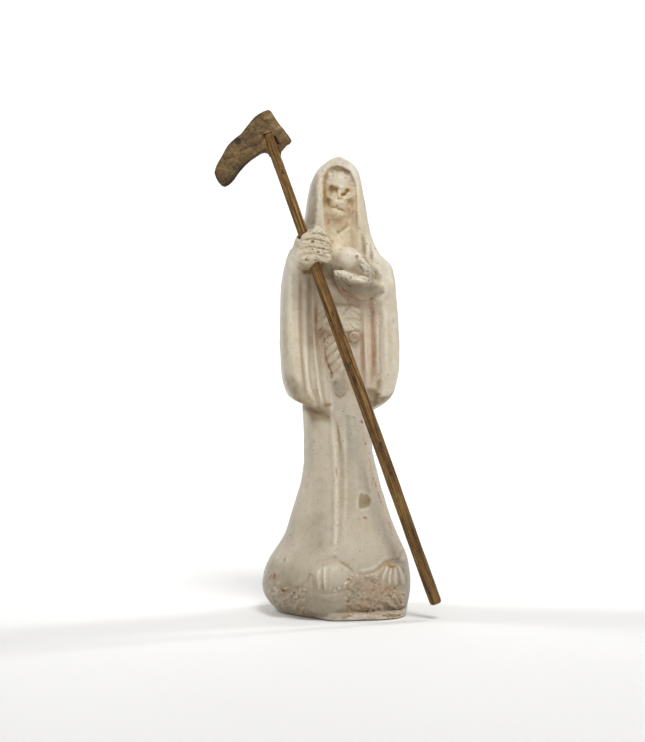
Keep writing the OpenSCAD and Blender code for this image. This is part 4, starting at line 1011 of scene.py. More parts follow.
# pink painted shade in the torso's recess, and pink tint on the chin, the belt and the cord
PINK_TINT_AND_SHADE.area([(362, 300), (370, 304), (371, 345), (371, 390), (364, 390), (362, 340)], 0.5, 3)
PINK_TINT_AND_SHADE.area([(330, 202), (348, 202), (350, 217), (330, 217)], 0.3, 3)
PINK_TINT_AND_SHADE.area([(317, 304), (361, 304), (361, 330), (317, 330)], 0.16, 3)
PINK_TINT_AND_SHADE.area([(319, 338), (332, 338), (340, 372), (326, 372)], 0.22, 3)
PAINTED_LIGHT.area([(324, 279), (330, 300), (330, 330), (324, 330), (320, 300)], 0.3, 4)
PAINTED_LIGHT.line([(310, 288), (310.4, 310), (310.8, 338)], 3.2, 0.6, 0.1)
PAINTED_LIGHT.area([(362, 300), (368, 304), (370, 340), (370, 380), (364, 380), (363, 340)], 0.6, 3)
PAINTED_LIGHT.line([(334, 271), (345, 273), (352, 278), (362, 281), (370, 282)], 1.8, 0.9, 0.1)
PAINTED_LIGHT.line([(320.2, 176), (319.8, 195), (319.8, 222)], 1.8, 0.8, 0.05)
PAINTED_LIGHT.area([(314, 566), (340, 564), (350, 574), (348, 586), (334, 592), (318, 590), (311, 578)], 0.12, 6)
# the tassel's own grey, a greyer skirt side, and grey at the top of the hood's front
GREY_TONE_AND_SHADE.spot(340.4, 387.6, 6.4, 7.4, 0.75, 0, 0.7)
GREY_TONE_AND_SHADE.area([(316, 470), (334, 470), (333, 545), (312, 552), (308, 520)], 0.4, 8)
GREY_TONE_AND_SHADE.spot(338, 163, 16, 5, 0.4)
# brown painted shade under the hood's rim and under the belt
BROWN_DIRT_AND_SHADE.area([(328, 172), (336, 170), (348, 174), (353, 184), (346, 186), (334, 183), (327, 184)], 0.3, 3)
BROWN_DIRT_AND_SHADE.area([(317, 330), (330, 331), (330, 337), (318, 338)], 0.9, 2)
BROWN_DIRT_AND_SHADE.area([(346, 334), (362, 334), (362, 342), (348, 342)], 0.7, 2)
PAINTED_LIGHT.spot(336, 240, 7, 7, 0.3)
PAINTED_LIGHT.spot(349.6, 258, 8, 7, 0.3)

# ---------------------------------------------------------------- folds round the sides and back
def around(g, d, px=None):
    """Long soft folds where the front drawing does not reach."""
    th = np.arctan2(g.x, g.y)                      # 0 at the back, 180 degrees at the front
    back = np.clip((g.y + F(3)) / 8, 0, 1)
    z = g.z
    fade = np.clip((z - 20) / 14, 0, 1) * np.clip((172 - z) / 22, 0, 1)
    wave = np.sin(th * 7 + F(0.018) * z + 0.6 * np.sin(th * 3 + 1.0)) * F(0.5) + np.sin(th * 12.5 + 1.4 + 0.02 * z) * F(0.28)
    low = np.sin(th * 5 + 0.5) * F(0.5) * np.clip((90 - z) / 40, 0, 1)
    return d - back * fade * (wave + low) * F(0.9)


_pits = None


def surface_pits():
    """Air holes over the sides and back, placed once on a coarse model of the whole figure."""
    g = Grid((-36, -32, -1), (36, 28, 203), 1.5)
    d = base(g)
    pts, tri, quad = polygons(g, d)
    r = np.random.default_rng(5)
    keep = pts[(pts[:, 2] > 4) & ((pts[:, 1] > -6) | (np.abs(pts[:, 0]) > 26))]
    pick = keep[r.choice(len(keep), 190, replace=False)] + r.uniform(-0.5, 0.5, (190, 3))
    return [(p, float(q)) for p, q in zip(pick, np.where(r.uniform(0, 1, 190) < 0.12, r.uniform(0.7, 1.1, 190), r.uniform(0.3, 0.6, 190)))]


def foot(g):
    """The foot is rounded off at its front left."""
    off = np.interp(g.ax[2], [-1, 1, 3, 6, 10, 16, 22], [20.5, 22.4, 25.2, 28.8, 32.0, 38, 60]).astype(F)[None, None, :]
    return g.x * F(-0.796) - g.y * F(0.605) - off - F(0.8)


def collect(g):
    f = {k: within(g, lo, hi, fn) for k, (fn, lo, hi) in FIELDS.items()}
    if all(v is None for v in f.values()):
        raise RuntimeError("empty grid")
    if f["robe"] is None:
        f["robe"] = np.full(g.shape, FAR, F)
    return f


def base(g, f=None):
    d = compose(f or collect(g))
    d = around(g, d)
    if g.ax[2][0] < 22:
        d = smax(d, foot(g), 8.0)
    return smax(d, -g.z, 0.3)


def finish_field(g, d):
    """Adds the drawn relief, the cast surface's unevenness and the air holes."""
    near = np.abs(d) < 4.0
    ix = np.nonzero(near)
    x, y, z = g.ax[0][ix[0]], g.ax[1][ix[1]], g.ax[2][ix[2]]
    px, py = to_plane(x, y, z)
    w = np.clip((F(4.0) - y) / 6, 0, 1) * np.clip((z - F(0.4)) / F(1.6), 0, 1)
    # surfaces that turn away from the front keep less of it, so that nothing is drawn out sideways
    j0, j1 = np.maximum(ix[1] - 1, 0), np.minimum(ix[1] + 1, d.shape[1] - 1)
    facing = (d[ix[0], j0, ix[2]] - d[ix[0], j1, ix[2]]) / (F(g.h) * (j1 - j0))
    w = w * np.clip((facing - F(0.06)) / F(0.4), 0, 1)
    rough = 1 + 1.6 * np.clip((20 - z) / 8, 0, 1) * np.clip((-y - 8) / 6, 0, 1)
    n = noise(g.ax, 7.0, 1) * F(0.16) + noise(g.ax, 2.6, 2) * F(0.075)
    n = n + noise(g.ax, 1.25, 3) * F(0.035)
    lump = n[ix] * rough.astype(F)
    d[ix] -= look_up(RELIEF, px, py) * w * F(0.43 / 0.43) + lump
    for p, r in _pits or []:
        sl, s = g.part(p - r - 1, p + r + 1)
        if sl is not None:
            q = np.sqrt((s.x - F(p[0])) ** 2 + (s.y - F(p[1])) ** 2 + (s.z - F(p[2])) ** 2)
            d[sl] = smax(d[sl], F(r) - q, 0.2)
    return smax(d, -g.z, 0.25)


def polygons(g, d):
    v = vdb.FloatGrid(10.0)
    v.copyFromArray(np.ascontiguousarray(d, F), tolerance=0.0)
    pts, tri, quad = v.convertToPolygons(isovalue=0.0, adaptivity=0.0)
    return np.asarray(pts) * g.h + g.lo, tri, quad


# ---------------------------------------------------------------- colours
def lin(r, g, b):
    c = np.array([r, g, b], float) / 255
    return np.where(c <= 0.04045, c / 12.92, ((c + 0.055) / 1.055) ** 2.4)


def step(a, b, x):
    t = np.clip((x - a) / (b - a), 0, 1)
    return t * t * (3 - 2 * t)


def sample(g, a, pts):
    """Trilinear value of a grid array at scattered points."""
    t = (pts - g.lo) / g.h
    n = np.array(a.shape)
    t = np.clip(t, 0, n - 1.001)
    i = t.astype(int)
    f = (t - i).astype(F)
    out = np.zeros(len(pts), F)
    for u in (0, 1):
        for v in (0, 1):
            for w in (0, 1):
                wt = (f[:, 0] if u else 1 - f[:, 0]) * (f[:, 1] if v else 1 - f[:, 1]) * (f[:, 2] if w else 1 - f[:, 2])
                out += wt * a[i[:, 0] + u, i[:, 1] + v, i[:, 2] + w]
    return out


def blur(a, r):
    """A box blur of r cells each way, twice."""
    for axis in range(3):
        for _ in range(2):
            n = 2 * r + 1
            pad = [(0, 0)] * 3
            pad[axis] = (r + 1, r)
            c = np.cumsum(np.pad(a, pad, mode="edge").astype(np.float64), axis=axis)
            hi = [slice(None)] * 3
            lo = [slice(None)] * 3
            hi[axis], lo[axis] = slice(n, None), slice(None, -n)
            a = ((c[tuple(hi)] - c[tuple(lo)]) / n).astype(F)
    return a


CHALK = lin(222, 213, 194)


def mix(col, rgb, t):
    t = np.clip(t, 0, 1)[:, None]
    return col * (1 - t) + lin(*rgb) * t


def chalk_colour(p, nrm, fine, wide):
    """The coat's colour: darker low down, dust and painted shade in hollows, painted highlights on ridges, and the
    stains, painted shade and painted light drawn on the front.
    """
    col = np.tile(CHALK, (len(p), 1))
    a, b, c = noise_at(p, 13.0, 41), noise_at(p, 5.2, 42), noise_at(p, 2.3, 43)
    col = mix(col, (206, 192, 166), 0.45 * step(0.0, 0.9, a * 0.6 + b * 0.5))
    col = mix(col, (194, 191, 174), 0.45 * step(0.0, 0.9, -a * 0.5 + noise_at(p, 6.5, 44) * 0.6))
    col = mix(col, (230, 223, 207), 0.35 * step(0.15, 0.8, c * 0.6 + noise_at(p, 9.0, 45) * 0.4))
    col = mix(col, (208, 176, 158), 0.3 * step(0.35, 0.9, noise_at(p, 7.0, 46) * 0.7 + c * 0.3))
    # darker towards the bottom
    col = mix(col, (184, 174, 156), 0.62 * step(112, 8, p[:, 2]))
    # pinker in broad hollows: painted shade
    col = mix(col, (178, 138, 118), 0.12 * step(0.05, 0.6, -wide))
    # darker low on the front
    col = mix(col, (150, 139, 118), 0.55 * step(34, 3, p[:, 2]) * step(4, -8, p[:, 1]))
    # dust and painted shade in narrow hollows, painted shade in broad hollows, painted highlights on ridges
    col = mix(col, (184, 160, 124), 0.46 * step(0.04, 0.3, -fine + 0.03 * c))
    col = mix(col, (190, 168, 142), 0.36 * step(0.05, 0.8, -wide + 0.1 * b))
    col = mix(col, (240, 233, 218), 0.5 * step(0.03, 0.2, fine))
    px, py = to_plane(p[:, 0], p[:, 1], p[:, 2])
    ahead = nrm[:, 0] * SA - nrm[:, 1] * CA
    # surfaces that turn sideways are darkened: painted shade
    col = col * (1 - 0.24 * step(0.5, 0.1, ahead) * step(-0.75, -0.2, ahead))[:, None]
    w = step(0.05, 0.35, ahead) * step(6, -2, p[:, 1])
    # painted shade in the drawn valleys and painted highlights on the drawn ridges
    t = look_up(RELIEF_SHADING, px, py)
    col = mix(col, (150, 128, 98), 0.5 * w * step(0.04, 0.55, -t))
    col = mix(col, (243, 236, 221), 0.5 * w * step(0.04, 0.5, t))
    u, v = px + 0.9 * noise_at(p, 1.5, 47), py + 0.9 * noise_at(p, 1.5, 48)
    # painted light (pale), brown and grey painted shade with some dirt, pink tint that is partly painted shade, and the
    # olive, chip and ochre stains
    for d, rgb, k in ((PAINTED_LIGHT, (242, 234, 216), 1), (BROWN_DIRT_AND_SHADE, (182, 158, 132), 0.85), (GREY_TONE_AND_SHADE, (160, 150, 130), 0.85), (PINK_TINT_AND_SHADE, (192, 150, 126), 0.55), (OLIVE, (146, 134, 98), 0.85),
                      (CHIP, (166, 148, 114), 0.85), (OCHRE, (158, 122, 54), 1.0)):
        t = look_up(d.a, u, v)
        col = mix(col, rgb, k * w * np.clip(t * (1 + 0.35 * c), 0, 1))
    t = np.clip(w * look_up(WARM.a, u, v), 0, 1)[:, None]
    col = col * (1 + t * np.array([0.02, -0.02, -0.14]))
    # painted shade drawn on the front
    t = np.clip(w * look_up(PAINTED_SHADE.a, u, v) * (1 + 0.3 * c), 0, 1)[:, None]
    col = col * (1 - t * np.array([0.57, 0.64, 0.74]))
    u, v = px + 0.25 * noise_at(p, 0.8, 49), py + 0.25 * noise_at(p, 0.8, 50)
    col = mix(col, (150, 66, 46), w * look_up(RED.a, u, v) * 0.9)
    col = mix(col, (70, 56, 44), w * look_up(DARK.a, u, v) * 0.9)
    return col


# ---------------------------------------------------------------- meshes
def mesh_object(name, pts, tri, quad, colour=None, extra=None):
    """A smooth mesh from points in mm, with its outside facing out."""
    tri = np.asarray(tri, np.int32).reshape(-1, 3)
    quad = np.asarray(quad, np.int32).reshape(-1, 4)
    vol = 0.0
    for f in (tri, quad[:, :3], quad[:, [0, 2, 3]]):
        a, b, c = pts[f[:, 0]], pts[f[:, 1]], pts[f[:, 2]]
        vol += np.einsum("ij,ij->i", a, np.cross(b, c)).sum()
    if vol < 0:
        tri, quad = tri[:, ::-1], quad[:, ::-1]
    me = bpy.data.meshes.new(name)
    me.vertices.add(len(pts))
    me.vertices.foreach_set("co", (pts * 0.001).astype(F).ravel())
    idx = np.concatenate([tri.ravel(), quad.ravel()]).astype(np.int32)
    me.loops.add(len(idx))
    me.loops.foreach_set("vertex_index", idx)
    start = np.concatenate([np.arange(len(tri)) * 3, len(tri) * 3 + np.arange(len(quad)) * 4]).astype(np.int32)
    me.polygons.add(len(start))
    me.polygons.foreach_set("loop_start", start)
    me.update(calc_edges=True)
    me.polygons.foreach_set("use_smooth", np.ones(len(start), bool))
    if colour is not None:
        at_ = me.color_attributes.new(name="coat", type="FLOAT_COLOR", domain="POINT")
        at_.data.foreach_set("color", np.hstack([colour, np.ones((len(colour), 1))]).astype(F).ravel())
    if extra is not None:
        at_ = me.attributes.new(name="grain", type="FLOAT_VECTOR", domain="POINT")
        at_.data.foreach_set("vector", extra.astype(F).ravel())
    me.validate()
    o = bpy.data.objects.new(name, me)
    bpy.context.scene.collection.objects.link(o)
    return o


def normals(pts, tri, quad, outward=True):
    tri = np.asarray(tri, np.int32).reshape(-1, 3)
    quad = np.asarray(quad, np.int32).reshape(-1, 4)
    n = np.zeros_like(pts)
    vol = 0.0
    for f in (tri, quad[:, :3], quad[:, [0, 2, 3]]):
        a, b, c = pts[f[:, 0]], pts[f[:, 1]], pts[f[:, 2]]
        m = np.cross(b - a, c - a)
        vol += np.einsum("ij,ij->i", a, np.cross(b, c)).sum()
        for k in range(3):
            for ax in range(3):
                n[:, ax] += np.bincount(f[:, k], m[:, ax], len(pts))
    n /= np.maximum(np.linalg.norm(n, axis=1, keepdims=True), 1e-12)
    return -n if vol < 0 else n


def largest(pts, tri, quad):
    """Only the biggest joined part, so that no crumbs are left."""
    tri = np.asarray(tri, np.int64).reshape(-1, 3)
    quad = np.asarray(quad, np.int64).reshape(-1, 4)
    lab = np.arange(len(pts))
    e = np.vstack([tri[:, [0, 1]], tri[:, [1, 2]], quad[:, [0, 1]], quad[:, [1, 2]], quad[:, [2, 3]]])
    while True:
        m = np.minimum(lab[e[:, 0]], lab[e[:, 1]])
        new = lab.copy()
        np.minimum.at(new, lab[e[:, 0]], m)
        np.minimum.at(new, lab[e[:, 1]], m)
        new = new[new]
        if (new == lab).all():
            break
        lab = new
    return lab


def build_piece(node, key, h, side=0, colour=True):
    lo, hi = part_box(node)
    pad = 5.0 if key == "plinth" or key.startswith("hem_mound") else 2.4
    lo, hi = np.array(lo) * 1000 - pad, np.array(hi) * 1000 + pad
    lo[2] = max(lo[2], -0.9 if key != "plinth" else -0.9)
    g = Grid(lo, hi, h * COARSE)
    f = collect(g)
    own = f[key]
    if own is None:
        raise RuntimeError("nothing of " + node)
    rest = None
    for k, v in f.items():
        if k != key and k != "plinth":
            rest = hard_min(rest, v)
    m = F(0.5) * (own - rest) if rest is not None else np.full(g.shape, F(-12))
    if key == "plinth":
        m = g.z - F(3.0) + 0 * g.x + 0 * g.y
    else:
        m = np.maximum(m, F(3.0) - g.z)
    if side:
        m = np.maximum(m, F(side) * g.y)
    d = finish_field(g, base(g, f))
    t = np.clip((m + F(0.1)) / F(0.5), 0, 1)
    d = d + F(0.12) * t * t * (3 - 2 * t)
    s = np.maximum(d, m - F(0.4))
    if key in ("robe", "hood", "sleeve_right", "sleeve_left"):
        s = np.maximum(s, -(ROBE_IN(g, k=1.0) + F(1.4) * np.clip((F(6.5) - g.z) / F(2.0), 0, 1)))
    if key in ("robe", "hood", "skull", "plinth"):
        post = F(3.05) - np.sqrt((g.x + 1) ** 2 + g.y ** 2) + 0 * g.z
        s = np.maximum(s, np.minimum(post, np.minimum(F(178.1) - g.z, g.z - F(3.0))))
    # a closed skin: outside the grid is outside the piece
    for ax in range(3):
        for e in (0, -1):
            sl = [slice(None)] * 3
            sl[ax] = e
            s[tuple(sl)] = np.maximum(s[tuple(sl)], F(0.5) * g.h)
    pts, tri, quad = polygons(g, s)
    lab = largest(pts, tri, quad)
    big = np.argmax(np.bincount(lab))
    tri, quad = np.asarray(tri).reshape(-1, 3), np.asarray(quad).reshape(-1, 4)
    cnt = np.bincount(lab)
    keep = cnt[lab] > max(400, 0.02 * cnt[big])
    tri, quad = tri[keep[tri[:, 0]]], quad[keep[quad[:, 0]]]
    idx = np.cumsum(keep) - 1
    pts, tri, quad = pts[keep], idx[tri], idx[quad]
    nrm = normals(pts, tri, quad)
    # how far each point lies below its blurred surroundings, at a small and a wide scale, for the painted shade in
    # hollows and the painted highlights on ridges
    r1, r2 = max(1, round(0.7 / g.h)), max(2, round(2.2 / g.h))
    fine = sample(g, blur(np.clip(d, -3, 3), r1), pts) - sample(g, d, pts)
    wide = sample(g, blur(np.clip(d, -6, 6), r2), pts) - sample(g, d, pts)
    col = chalk_colour(pts, nrm, fine, wide)
    o = mesh_object("shape_" + node, pts, tri, quad, col)
    return o, len(tri) + 2 * len(quad), (fine, wide)


# ---------------------------------------------------------------- materials
def new_material(name):
    m = bpy.data.materials.new(name)
    m.use_nodes = True
    nt = m.node_tree
    nt.nodes.clear()
    out = nt.nodes.new("ShaderNodeOutputMaterial")
    sh = nt.nodes.new("ShaderNodeBsdfPrincipled")
    nt.links.new(sh.outputs[0], out.inputs[0])
    return m, nt, sh


def node(nt, kind, **kw):
    n = nt.nodes.new("ShaderNode" + kind)
    for k, v in kw.items():
        if k in n.inputs:
            n.inputs[k].default_value = v
        else:
            setattr(n, k, v)
    return n


def chain_coords(nt, source, scale):
    mp = node(nt, "Mapping")
    mp.inputs["Scale"].default_value = scale
    nt.links.new(source, mp.inputs["Vector"])
    return mp.outputs[0]


def ramp(nt, fac, stops):
    r = nt.nodes.new("ShaderNodeValToRGB")
    e = r.color_ramp.elements
    while len(e) < len(stops):
        e.new(0.5)
    for el, (p, c) in zip(e, stops):
        el.position = p
        el.color = (*c, 1) if hasattr(c, "__len__") else (c, c, c, 1)
    nt.links.new(fac, r.inputs[0])
    return r.outputs[0]


def blend_colour(nt, a, b, fac, mode="MIX"):
    m = nt.nodes.new("ShaderNodeMix")
    m.data_type = "RGBA"
    m.blend_type = mode
    for sock, v in ((m.inputs[0], fac), (m.inputs[6], a), (m.inputs[7], b)):
        if hasattr(v, "is_linked"):
            nt.links.new(v, sock)
        elif hasattr(v, "__len__"):
            sock.default_value = (*v, 1)
        else:
            sock.default_value = v
    return m.outputs[2]


def maths(nt, op, a, b=None):
    m = nt.nodes.new("ShaderNodeMath")
    m.operation = op
    for i, v in enumerate((a, b)):
        if v is None:
            continue
        if hasattr(v, "is_linked"):
            nt.links.new(v, m.inputs[i])
        else:
            m.inputs[i].default_value = v
    return m.outputs[0]


def chalk_material(name, painted=True, tint=(222, 210, 186)):
    m, nt, sh = new_material(name)
    co = node(nt, "TexCoord").outputs["Object"]
    if painted:
        at_ = nt.nodes.new("ShaderNodeAttribute")
        at_.attribute_name = "coat"
        base = at_.outputs["Color"]
    else:
        n0 = node(nt, "TexNoise", Scale=90.0, Detail=3.0)
        nt.links.new(co, n0.inputs["Vector"])
        base = ramp(nt, n0.outputs["Fac"], [(0.3, lin(176, 156, 124)), (0.7, lin(*tint))])
    # clouds of dust, then fine grit
    n1 = node(nt, "TexNoise", Scale=420.0, Detail=6.0, Roughness=0.62)
    n2 = node(nt, "TexNoise", Scale=1900.0, Detail=3.0, Roughness=0.6)
    for n in (n1, n2):
        nt.links.new(co, n.inputs["Vector"])
    c = blend_colour(nt, base, ramp(nt, n1.outputs["Fac"], [(0.28, lin(226, 216, 198)), (0.5, lin(252, 250, 247)), (0.75, (1, 1, 1))]), 0.5, "MULTIPLY")
    c = blend_colour(nt, c, ramp(nt, n2.outputs["Fac"], [(0.3, lin(232, 226, 214)), (0.6, (1, 1, 1))]), 0.5, "MULTIPLY")
    # sparse specks of earth and red ochre
    for scale, size, rgb, share in ((330.0, 0.1, (92, 70, 52), 0.32), (260.0, 0.09, (158, 82, 58), 0.3), (640.0, 0.15, (132, 112, 84), 0.4)):
        v = node(nt, "TexVoronoi", Scale=scale, Randomness=1.0)
        nt.links.new(co, v.inputs["Vector"])
        near = ramp(nt, v.outputs["Distance"], [(size * 0.6, 1.0), (size, 0.0)])
        sep = nt.nodes.new("ShaderNodeSeparateColor")
        nt.links.new(v.outputs["Color"], sep.inputs[0])
        some = maths(nt, "LESS_THAN", sep.outputs[0], share)
        c = blend_colour(nt, c, lin(*rgb), maths(nt, "MULTIPLY", maths(nt, "MULTIPLY", near, some), 0.75))
    nt.links.new(c, sh.inputs["Base Color"])
    nt.links.new(ramp(nt, n1.outputs["Fac"], [(0.3, 0.5), (0.7, 0.34)]), sh.inputs["Roughness"])
    sh.inputs["Specular IOR Level"].default_value = 0.5
    v = node(nt, "TexVoronoi", Scale=900.0, Randomness=1.0)
    nt.links.new(co, v.inputs["Vector"])
    pores = ramp(nt, v.outputs["Distance"], [(0.05, 0.0), (0.3, 1.0)])
    h = maths(nt, "ADD", maths(nt, "MULTIPLY", n1.outputs["Fac"], 1.3), maths(nt, "MULTIPLY", n2.outputs["Fac"], 0.5))
    h = maths(nt, "ADD", h, maths(nt, "MULTIPLY", pores, 0.18))
    b = node(nt, "Bump", Strength=0.55, Distance=0.00018)
    nt.links.new(h, b.inputs["Height"])
    nt.links.new(b.outputs[0], sh.inputs["Normal"])
    return m


def wood_material(name, light, mid, dark, along=2, painted=True, mottled=False):
    m, nt, sh = new_material(name)
    if painted:
        g_ = nt.nodes.new("ShaderNodeAttribute")
        g_.attribute_name = "grain"
        src, k = g_.outputs["Vector"], 1.0
    else:
        src, k = node(nt, "TexCoord").outputs["Object"], 1000.0

    def stretched(a, b):
        s = [a * k] * 3
        s[along] = b * k
        return chain_coords(nt, src, s)

    n1 = node(nt, "TexNoise", Scale=1.0, Detail=7.0, Roughness=0.65, Distortion=0.4)
    nt.links.new(stretched(*((0.3, 0.2) if mottled else (0.7, 0.03))), n1.inputs["Vector"])
    n2 = node(nt, "TexNoise", Scale=1.0, Detail=4.0, Roughness=0.6)
    nt.links.new(stretched(*((1.7, 0.8) if mottled else (1.7, 0.05))), n2.inputs["Vector"])
    n3 = node(nt, "TexNoise", Scale=1.0, Detail=5.0, Roughness=0.62)
    nt.links.new(stretched(0.55, 0.4), n3.inputs["Vector"])
    c = ramp(nt, n1.outputs["Fac"], [(0.28, lin(*dark)), (0.5, lin(*mid)), (0.72, lin(*light))])
    c = blend_colour(nt, c, ramp(nt, n2.outputs["Fac"], [(0.34, lin(118, 92, 60)), (0.5, lin(236, 226, 206)), (0.66, (1, 1, 1))]), 0.36 if mottled else 0.85, "MULTIPLY")
    n4 = node(nt, "TexNoise", Scale=1.0, Detail=2.5, Roughness=0.5, Distortion=1.4 if mottled else 0.15)
    nt.links.new(stretched(*((0.3, 0.17) if mottled else (0.95, 0.022))), n4.inputs["Vector"])
    c = blend_colour(nt, c, ramp(nt, n4.outputs["Fac"], [(0.43, (1, 1, 1)), (0.485, lin(150, 122, 84)), (0.5, lin(92, 62, 28)), (0.515, lin(150, 122, 84)), (0.57, (1, 1, 1))]), 0.4 if mottled else 0.6, "MULTIPLY")
    n5 = node(nt, "TexNoise", Scale=1.0, Detail=2.0, Roughness=0.5, Distortion=0.2)
    nt.links.new(stretched(*((0.9, 0.6) if mottled else (1.45, 0.03))), n5.inputs["Vector"])
    c = blend_colour(nt, c, ramp(nt, n5.outputs["Fac"], [(0.38, (1, 1, 1)), (0.42, lin(120, 92, 56)), (0.46, (1, 1, 1))]), 0.4 if mottled else 0.6, "MULTIPLY")
    c = blend_colour(nt, c, ramp(nt, n3.outputs["Fac"], [(0.3, lin(176, 158, 132)), (0.56, (1, 1, 1))]), 0.7, "MULTIPLY")
    if painted:
        t = nt.nodes.new("ShaderNodeAttribute")
        t.attribute_name = "coat"
        c = blend_colour(nt, c, t.outputs["Color"], 1.0, "MULTIPLY")
    nt.links.new(c, sh.inputs["Base Color"])
    nt.links.new(ramp(nt, n2.outputs["Fac"], [(0.3, 0.78), (0.7, 0.58)]), sh.inputs["Roughness"])
    sh.inputs["Specular IOR Level"].default_value = 0.4
    h = maths(nt, "ADD", maths(nt, "MULTIPLY", n2.outputs["Fac"], 1.0), maths(nt, "MULTIPLY", n3.outputs["Fac"], 0.6))
    b = node(nt, "Bump", Strength=0.6, Distance=0.0002)
    nt.links.new(h, b.inputs["Height"])
    nt.links.new(b.outputs[0], sh.inputs["Normal"])
    return m


CHALK_MAT = chalk_material("chalk_coat")
POLE_MAT = wood_material("pole_wood", (180, 146, 84), (156, 121, 64), (124, 91, 43))
BLADE_MAT = wood_material("blade_wood", (160, 136, 94), (134, 108, 68), (102, 77, 42), mottled=True)
POST_MAT = wood_material("armature_wood", (176, 146, 104), (150, 120, 80), (116, 88, 54), painted=False)
CAST_MAT = chalk_material("cast_ballast", painted=False, tint=(206, 196, 178))

# ---------------------------------------------------------------- the moulded pieces
_pits = surface_pits()
PARTS = [("robe_front", "robe", 0.44, 1), ("robe_back", "robe", 0.52, -1), ("hood", "hood", 0.36, 0), ("skull", "skull", 0.2, 0),
         ("sleeve_right", "sleeve_right", 0.38, 0), ("sleeve_left", "sleeve_left", 0.4, 0), ("hand_right", "hand_right", 0.22, 0),
         ("hand_left", "hand_left", 0.24, 0), ("globe", "globe", 0.22, 0), ("belt", "belt", 0.26, 0), ("belt_cord", "belt_cord", 0.22, 0),
         ("cord_knot", "cord_knot", 0.18, 0), ("cord_tassel", "cord_tassel", 0.22, 0), ("hem_mound_centre", "hem_mound_centre", 0.28, 0),
         ("hem_mound_right", "hem_mound_right", 0.28, 0), ("hem_mound_left", "hem_mound_left", 0.3, 0), ("base_plinth", "plinth", 0.4, 0)]
for name, key, h, side in PARTS:
    o, faces, _c = build_piece(name, key, h, side)
    o.data.materials.append(CHALK_MAT)
    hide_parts(name)
    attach(o, "figure")
    print("piece", name, faces, "faces")

# ---------------------------------------------------------------- the scythe
TILT = math.radians(20)
LX, LY, LZ = np.array([math.cos(TILT), 0, math.sin(TILT)]), np.array([0, 1.0, 0]), np.array([-math.sin(TILT), 0, math.cos(TILT)])
FIST = np.array([-16, -27, 156.7])
LOW, TOP = -159.8, 51.2


def pole_at(px, py, y=-29.6):
    """Across and along the pole, for a place on the front drawing."""
    v = at(px, py, y) - FIST
    return float(v @ LX), float(v @ LZ)


